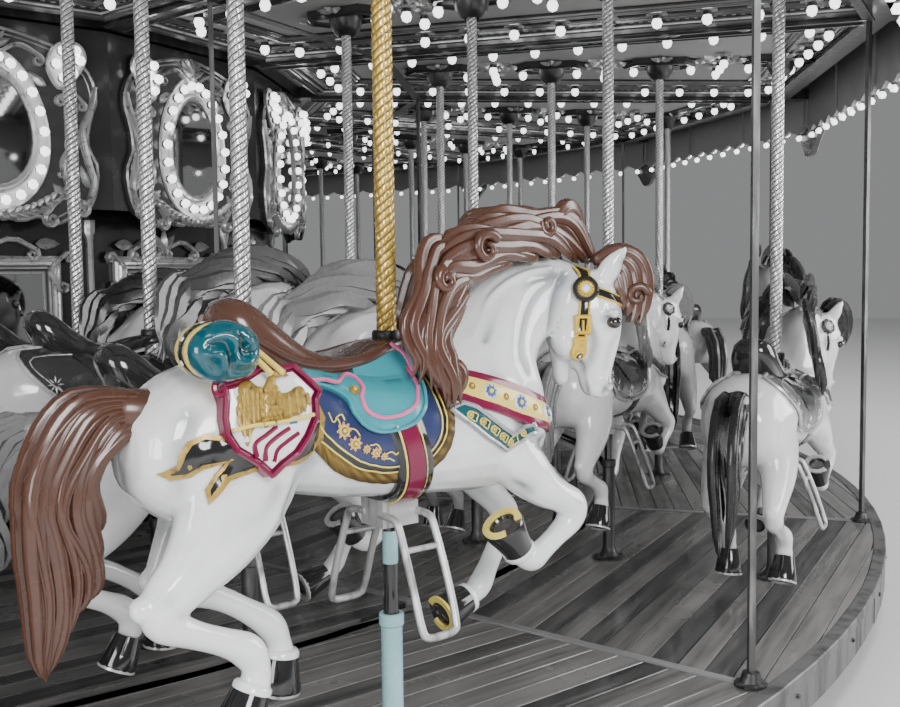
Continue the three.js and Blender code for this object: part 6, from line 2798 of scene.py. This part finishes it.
@dataclass
class FrontHorse:
    """The horse in full colour, nearest to the camera."""

    voxel: float = 0.006
    faces: int = 52000
    node: str = "horse_16_row_1"
    body: str = "rider_16_row_1"

    def cloths(self, tack: Tack) -> Draft:
        """The drape, blue cloth, turquoise flap, breast plate and shield on both sides.

        Args:
            tack: The horse's tack.

        Returns:
            The draft.
        """
        figure = tack.figure
        draft = Draft()
        lower = curve(CLOTH[1:12], 70)
        rim = curve(drawn_in(CLOTH, -0.014)[1:12], 70)
        for side in (-1, 1):
            draft.join(self.pleats(figure, rim, curve(FRINGE, 70), side))
            draft.join(figure.patch(drawn_in(CLOTH, -0.014), side, 0.008, Paint.BLACK, 0.02))
            draft.join(figure.patch(CLOTH, side, 0.0105, Paint.BLUE, 0.02))
            draft.join(figure.cord(lower, side, 0.0022, Paint.YELLOW, 0.0105, sides=5))
            draft.join(figure.cord(rim, side, 0.0022, Paint.YELLOW, 0.008, sides=5))
            draft.join(figure.patch(DRAPE, side, 0.0135, Paint.GOLD, 0.02, smooth=False))
            draft.join(figure.patch(drawn_in(DRAPE, 0.0095), side, 0.0175, Paint.BLACK, 0.018, smooth=False))
            self.garland(draft, figure, side)
            draft.join(figure.patch(FLAP, side, 0.022, Paint.TURQUOISE, 0.018, puff=0.003))
            draft.join(figure.cord(curve(FLAP[:14], 60), side, 0.0045, Paint.TURQUOISE, 0.021))
            draft.join(figure.cord(curve(PINK_LINE, 80), side, 0.0050, Paint.PINK, 0.0265))
            stud = medal(0.0115, Paint.GOLD, Paint.GOLD, Paint.YELLOW)
            draft.join(stud, figure.frame(-0.192, 0.268, side, 0.028))
            draft.join(figure.patch(BREAST, side, 0.009, Paint.DEEP_TEAL, 0.016, smooth=False, puff=0.002))
            line = self.dense(BREAST, 80)
            draft.join(figure.cord(line, side, 0.0055, Paint.SILVER, 0.009, sides=5))
            boss = medal(0.0092, Paint.YELLOW, Paint.GOLD, Paint.YELLOW, None, 12)
            draft.join(boss, *[figure.frame(x, z, side, 0.0115) for x, z in BOSSES])
            for a, b in zip(BOSSES[:-1], BOSSES[1:]):
                across = np.array([a[1] - b[1], b[0] - a[0]]) * 0.22
                for bow in (across, -across):
                    line = curve([a + bow * 0.9, (a + b) / 2 + bow, (a + b) / 2 - bow * 0.3], 8)
                    draft.join(figure.cord(line, side, 0.0016, Paint.YELLOW, 0.012, sides=4))
            if side < 0:
                self.shield(draft, figure, side)
        return draft

    def dense(self, line: Array, count: int) -> Array:
        """A closed polyline with evenly spread points that keeps its corners.

        Args:
            line: The corners (n, 2).
            count: About how many points to give back.

        Returns:
            Points (n, 2).
        """
        line = np.vstack([line, line[:1]])
        length = lengths(line)
        spots = np.unique(np.concatenate([np.linspace(0, length[-1], count), length]))
        return np.column_stack([np.interp(spots, length, line[:, i]) for i in range(2)])

    def pleats(self, figure: Figure, inner: Array, outer: Array, side: float, folds: int = 17) -> Draft:
        """A slanting pleated fringe between two lines.

        Args:
            figure: The horse.
            inner: Its upper line (n, 2).
            outer: Its lower line (n, 2).
            side: -1 for the horse's right, 1 for its left.
            folds: Its pleats.

        Returns:
            The draft.
        """
        count = len(inner)
        wave = 0.0055 + 0.0035 * np.abs(np.sin(np.linspace(0, folds * math.pi, count)))
        rings = []
        for i in range(count):
            a, b = inner[i], outer[min(count - 1, i + 4)]
            profile = ((-0.1, wave[i]), (0.5, wave[i] * 1.15), (1.0, wave[i] * 0.7), (1.0, -0.01), (-0.1, -0.01))
            rings.append([figure.drop(*(a + (b - a) * t), side, lift)[0] for t, lift in profile])
        return skin(np.array(rings), Paint.GOLD)

    def garland(self, draft: Draft, figure: Figure, side: float) -> None:
        """Adds the jewelled flowers and tendrils on the blue cloth.

        Args:
            draft: The draft that it adds to.
            figure: The horse.
            side: -1 for the horse's right, 1 for its left.
        """
        for x, z, size in rows(3, -235, 201, 15, -206, 172, 13, -177, 158, 8.5, -152, 147, 10.5, -130, 137, 7.5):
            frame = figure.frame(x, z, side, 0.013)
            petal = leaf(size * 0.62, size * 0.62, size * 0.2, Paint.ROSE, 1)
            draft.join(petal, *star(8, size * 0.72, frame))
            draft.join(medal(size * 0.86, Paint.YELLOW, Paint.GOLD, Paint.YELLOW), frame)
        for line in (rows(2, -270, 240, -262, 222, -250, 226, -243, 212),
                     rows(2, -255, 228, -238, 232, -232, 222),
                     rows(2, -222, 205, -205, 200, -195, 186),
                     rows(2, -168, 166, -150, 164, -140, 152),
                     rows(2, -126, 142, -112, 145, -100, 138, -94, 142),
                     rows(2, -128, 132, -115, 130, -104, 124)):
            draft.join(figure.cord(curve(line, 14), side, 0.0017, Paint.YELLOW, 0.0135, sides=5))

    def shield(self, draft: Draft, figure: Figure, side: float) -> None:
        """Adds the shield with its curled border, stripes, branch and spread bird.

        Args:
            draft: The draft that it adds to.
            figure: The horse.
            side: -1 for the horse's right, 1 for its left.
        """
        plate = Plate(figure, rows(2, -515, 270, -505, 200, -310, 250, -430, 140, -320, 205), 0.013)
        draft.join(plate.patch(SHIELD, side, 0.020, Paint.MAGENTA, 0.016, 0.03, smooth=False))
        line = self.dense(SHIELD, 90)
        draft.join(plate.cord(line, side, 0.0055, Paint.MAGENTA, 0.022))
        draft.join(plate.patch(drawn_in(SHIELD, 0.0115), side, 0.0265, Paint.WHITE, 0.016, 0.02, smooth=False))
        curl = rows(2, -500, 330, -522, 328, -536, 318, -536, 304, -524, 299, -518, 308, -524, 312)
        draft.join(plate.cord(curve(curl, 24), side, 0.0062, Paint.MAGENTA, 0.024))
        for stripe in (rows(2, -464, 172, -465, 197, -438, 212, -411, 226),
                       rows(2, -446, 162, -441, 188, -414, 206, -382, 220),
                       rows(2, -427, 158, -416, 180, -390, 195, -362, 208)):
            draft.join(plate.cord(curve(stripe, 16), side, 0.0052, Paint.MAGENTA, 0.0255))
        corner = rows(2, -392, 212, -352, 222, -345, 237, -385, 236)
        draft.join(plate.patch(corner, side, 0.0285, Paint.TRIM_BLUE, 0.014, smooth=False))
        branch = curve(rows(2, -517, 228, -468, 233, -401, 234, -328, 241), 20)
        draft.join(plate.cord(branch, side, 0.0042, Paint.YELLOW, 0.040))
        for form, lift in ((EAGLE_WINGS[0], 0.030), (EAGLE_WINGS[1], 0.030), (EAGLE_BODY, 0.032)):
            draft.join(plate.patch(form, side, lift + 0.003, Paint.GOLD, 0.012, 0.012, puff=0.003))

        def plume(root: Point, tip: Point, width: float, lift: float, rise: float = 0.005) -> None:
            """Adds one feather between two places.

            Args:
                root: Where it starts (x, z).
                tip: Where it ends.
                width: Its width.
                lift: How far above the plate.
                rise: How high its spine stands.
            """
            way = np.subtract(tip, root)
            length = float(np.linalg.norm(way))
            place, normal = plate.drop(*np.add(root, tip) / 2, side, lift)
            frame = facing(place, normal, (way[0], 0, way[1])) @ turn(2, math.pi / 2) @ shift(x=-length / 2)
            draft.join(leaf(length, width, rise, Paint.GOLD, 1), frame)

        for tops, tips in ((rows(2, -440, 296, -456, 318, -476, 317, -489, 290),
                            rows(2, -446, 246, -462, 232, -482, 198, -498, 236)),
                           (rows(2, -406, 290, -384, 292, -354, 302, -335, 290),
                            rows(2, -412, 240, -386, 238, -352, 242, -330, 258))):
            for a, b in zip(curve(tops, 6), curve(tips, 6)):
                plume(a + (b - a) * 0.50, b, 0.0110, 0.0325)
                plume(a + (b - a) * 0.26, a + (b - a) * 0.74, 0.0105, 0.0345, 0.004)
                plume(a + (b - a) * 0.08, a + (b - a) * 0.46, 0.0100, 0.0355, 0.004)
        for i, z in enumerate(np.linspace(0.298, 0.240, 6)):
            half = 0.020 * math.sin(math.pi * (0.34 + 0.08 * i)) + 0.001
            for x in np.linspace(-half, half, 4) - 0.424 + (0.004 if i % 2 else 0):
                plume((x, z + 0.009), (x, z - 0.007), 0.0125, 0.0355)
        plume((-0.426, 0.290), (-0.406, 0.332), 0.026, 0.035, 0.009)
        head = plate.frame(-0.402, 0.330, side, 0.040) @ stretch(1.25, 0.9, 0.8)
        draft.join(ball(0.0105, Paint.GOLD, 10, 7), head)
        plume((-0.396, 0.331), (-0.376, 0.322), 0.011, 0.040)
        for x in (-0.446, -0.418):
            plume((x, 0.244), (x - 0.006, 0.226), 0.011, 0.041)

    def straps(self, tack: Tack) -> Draft:
        """The girth, the breast collar and the bridle.

        Args:
            tack: The horse's tack.

        Returns:
            The draft.
        """
        draft = Draft()
        line, out = tack.hoop(-0.060, 1.75, 0.054)
        line, out = tack.eased(line, out, 2)
        draft.join(strap(line, out, 0.047, 0.0165, Paint.BLACK)).join(strap(line, out, 0.0255, 0.0195, Paint.MAGENTA))
        for offset in (-0.028, 0.028):
            draft.join(tube(line + out * 0.0168 + (offset, 0, 0), 0.0024, Paint.YELLOW, 5))
        line, out = tack.around_chest(rows(2, 60, 285, 103, 276, 143, 263, 191, 249, 245, 231, 308, 207, 360, 188,
                                           400, 176), (0.478, 0.160))
        draft.join(strap(line, out, 0.0435, 0.008, Paint.MAGENTA)).join(strap(line, out, 0.0275, 0.0105, Paint.YELLOW))
        length = lengths(line)
        bosses = (medal(0.0195, Paint.WHITE, Paint.TRIM_BLUE, Paint.YELLOW, Paint.TRIM_BLUE),
                  medal(0.009, Paint.GOLD, Paint.GOLD, Paint.YELLOW))
        for i, at in enumerate(np.arange(0.032, length[-1], 0.0505)):
            spot, way = (np.array([np.interp(at, length, column) for column in part.T]) for part in (line, out))
            draft.join(bosses[i % 2], facing(spot + way * 0.010, way))
        return draft.join(tack.bridle(Paint.BLACK, Paint.GILT, Paint.JEWEL))

    def build(self) -> None:
        """Makes the horse with all that it wears."""
        figure = Figure(GALLOP, self.voxel, Paint.WHITE, self.faces)
        figure.carve()
        tack = Tack(figure)
        place = rider_frame(FRONT_RANK, 0)
        hair = Hair(Paint.MANE, seed=5).all(head_frame(GALLOP.head_turn))
        saddle = tack.seat(Paint.SEAT)
        saddle.join(tack.bedroll(Paint.TEAL, (Paint.YELLOW, Paint.BLACK, Paint.YELLOW), Paint.JEWEL))
        trim = self.cloths(tack).join(self.straps(tack)).join(tack.eyes()).join(tack.skirt(Paint.TURQUOISE, Paint.PINK))
        for line, shoe in zip(GALLOP.hooves, (Paint.SILVER, Paint.SILVER, Paint.YELLOW, Paint.YELLOW)):
            trim.join(hoof(line, Paint.BLACK, shoe, Paint.WHITE, 20))
        pole = Pole(1.0, Paint.GOLD_POLE, Paint.TUBE_BLUE, 20, 0.0050)
        meshes = {"body": figure.mesh, "hair": hair.mesh("front_hair", 60), "saddle": saddle.mesh("front_saddle", 50),
                  "trim": trim.mesh("front_trim", 50), "pole": pole.draft().mesh("front_pole", 60)}
        for part, mesh in meshes.items():
            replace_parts(add_piece(mesh, f"front_horse_{part}", self.body, place), self.node)


def rider_frame(rank: int, row: int) -> Array:
    """Where the horse of a rank and row stands at rest, before its own size.

    Args:
        rank: The horse's rank.
        row: Its row, 0 for the outermost.

    Returns:
        The 4 by 4 matrix.
    """
    angle, radius = rank_angle(rank), ROW_RADII[row]
    height = DECK_TOP + BELLY_MID + REST_OFFSET * REST_LEVELS[rank % 2][row]
    return shift(radius * math.cos(angle), radius * math.sin(angle), height) @ turn(2, angle + math.pi / 2)


def draft_of(mesh: bpy.types.Mesh, finish: Finish) -> Draft:
    """A mesh as a draft with one finish.

    Args:
        mesh: The mesh.
        finish: The finish of all its faces.

    Returns:
        The draft.
    """
    cloud = np.zeros(len(mesh.vertices) * 3)
    mesh.vertices.foreach_get("co", cloud)
    faces = [tuple(p.vertices) for p in mesh.polygons]
    blocks = [np.array([f for f in faces if len(f) == size]) for size in (3, 4) if any(len(f) == size for f in faces)]
    return Draft().put(cloud.reshape(-1, 3), blocks, finish)


@dataclass
class Herd:
    """The horses in greys, from a finer pattern near the camera and a coarser one elsewhere."""

    near: tuple[tuple[int, int], ...] = ((15, 1), (15, 2), (15, 3), (0, 0), (0, 1), (1, 0))
    # for the coarser pattern and the finer one
    voxels: tuple[float, float] = (0.015, 0.0105)
    faces: tuple[int, int] = (3200, 12000)
    shares: tuple[float, float] = (0.5, 0.6)

    def pattern(self, fine: bool) -> Draft:
        """One dressed horse whose coat, hair and cloth are swapped later.

        Args:
            fine: Whether the viewer comes close to it.

        Returns:
            The draft.
        """
        figure = Figure(GALLOP, self.voxels[fine], Paint.COATS[0], self.faces[fine], fine)
        figure.carve()
        tack = Tack(figure, False)
        draft = draft_of(figure.mesh, Paint.COATS[0])
        hair = Hair(Paint.HAIR[0], 1 if fine else 0, 3)
        draft.join(hair.all(head_frame(GALLOP.head_turn)))
        draft.join(tack.seat(Paint.SADDLE))
        cloth = rows(2, -500, 345, -470, 240, -360, 165, -200, 115, -40, 110, 60, 150, 90, 300, 20, 355, -200, 340)
        flap = rows(2, -330, 335, -270, 260, -190, 200, -90, 190, -20, 240, -20, 310, -100, 350)
        step = 0.032 if fine else 0.07
        for side in (-1, 1):
            draft.join(figure.patch(cloth, side, 0.008, Paint.CLOTH[0], step))
            draft.join(figure.cord(curve(cloth, 36 if fine else 14, True), side, 0.006, Paint.TRIM, 0.008, True, 4))
            if fine:
                inner = curve(drawn_in(cloth, 0.022), 36, True)
                draft.join(figure.cord(inner, side, 0.0025, Paint.TRIM, 0.009, True, 4))
                for x, z in rows(2, -420, 235, -300, 185, -160, 150, 0, 160):
                    spray = leaf(0.026, 0.007, 0.003, Paint.TRIM, 1)
                    draft.join(spray, *star(8, 0.006, figure.frame(x, z, side, 0.009)))
            draft.join(figure.patch(flap, side, 0.018, Paint.SADDLE, step, puff=0.005))
        line, out = tack.hoop(-0.040, 1.7)
        draft.join(strap(line, out, 0.036, 0.005, Paint.SADDLE))
        line, out = tack.around_chest(rows(2, 60, 290, 150, 262, 240, 225, 330, 195, 400, 180), (0.512, 0.160))
        draft.join(tack.banded(line, out, 0.030, Paint.SADDLE, Paint.TRIM, 0.007))
        if fine:
            draft.join(tack.bridle(Paint.SADDLE, Paint.TRIM, Paint.JEWEL)).join(tack.eyes())
        for line in GALLOP.hooves:
            draft.join(hoof(line, Paint.HOOF, Paint.TRIM, None, 14 if fine else 8))
        return draft

    def build(self) -> None:
        """Places a horse and its pole in every rank and row but the front horse's."""
        base = {fine: self.pattern(fine).mesh(f"horse_{'fine' if fine else 'plain'}", 55, self.shares[fine])
                for fine in (True, False)}
        poles = {}
        coats: dict[tuple[bool, int], bpy.types.Mesh] = {}
        for rank in HORSE_RANKS:
            for row in range(len(ROW_RADII)):
                if (rank, row) == (FRONT_RANK, 0):
                    continue
                fine = (rank, row) in self.near
                look = (rank * 5 + row * 4) % len(Paint.COATS)
                if (fine, look) not in coats:
                    mesh = base[fine].copy()
                    swap = {group[0].name: group[pick % len(group)] for group, pick in (
                        (Paint.COATS, look), (Paint.HAIR, look), (Paint.CLOTH, look + 1))}
                    for i, material in enumerate(mesh.materials):
                        if material.name in swap:
                            mesh.materials[i] = swap[material.name].material()
                    coats[fine, look] = mesh
                close = rank == FRONT_RANK or (rank, row) in ((0, 0), (0, 1))
                if (close, row) not in poles:
                    pole = Pole(ROW_SCALES[row], Paint.POLE, Paint.TUBE, 14 if close else 8, 0.2)
                    poles[close, row] = pole.draft().mesh(f"pole_{row}_{close}", 60)
                tag = f"{rank + 1:02d}_row_{row + 1}"
                place = rider_frame(rank, row)
                for part, mesh, frame in (("figure", coats[fine, look], place @ stretch(*[ROW_SCALES[row]] * 3)),
                                          ("pole", poles[close, row], place)):
                    piece = add_piece(mesh, f"{part}_{tag}", f"rider_{tag}", frame)
                    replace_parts(piece, f"horse_{tag}")


def write_size(stage: str, sizes: dict[str, list[list[float]]]) -> None:
    """Args:
        stage: The stage's name.
        sizes: The sizes so far, which it adds to.
    """
    low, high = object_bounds()
    sizes[stage] = [[float(v) for v in low], [float(v) for v in high]]


def main() -> None:
    """Builds the scene in order."""
    logging.basicConfig(level=logging.INFO, format="%(levelname)s %(message)s")
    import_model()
    sizes: dict[str, list[list[float]]] = {}
    write_size("loaded", sizes)
    paint_cad(("base_frame", Paint.STEEL), ("centre_housing", Paint.HOUSING), ("outer_rods", Paint.ROD),
              ("inner_rods", Paint.ROD), ("sweep_frame", Paint.STEEL), ("ceiling", Paint.PANEL))
    for part in (Deck("outer_deck_planks", DECK_SEAM, DECK_RADIUS, (0, 1)),
                 Deck("inner_deck_planks", DECK_INNER, DECK_SEAM, (2, 3)), Ceiling(), UpperBoards(),
                 RoundingBoards(), Roof(), Housing(), Chariot(), FrontHorse(), Herd(), Studio()):
        part.build()
        log.info("built %s", getattr(part, "name", type(part).__name__))
    write_size("finished", sizes)


if __name__ == "__main__":
    main()
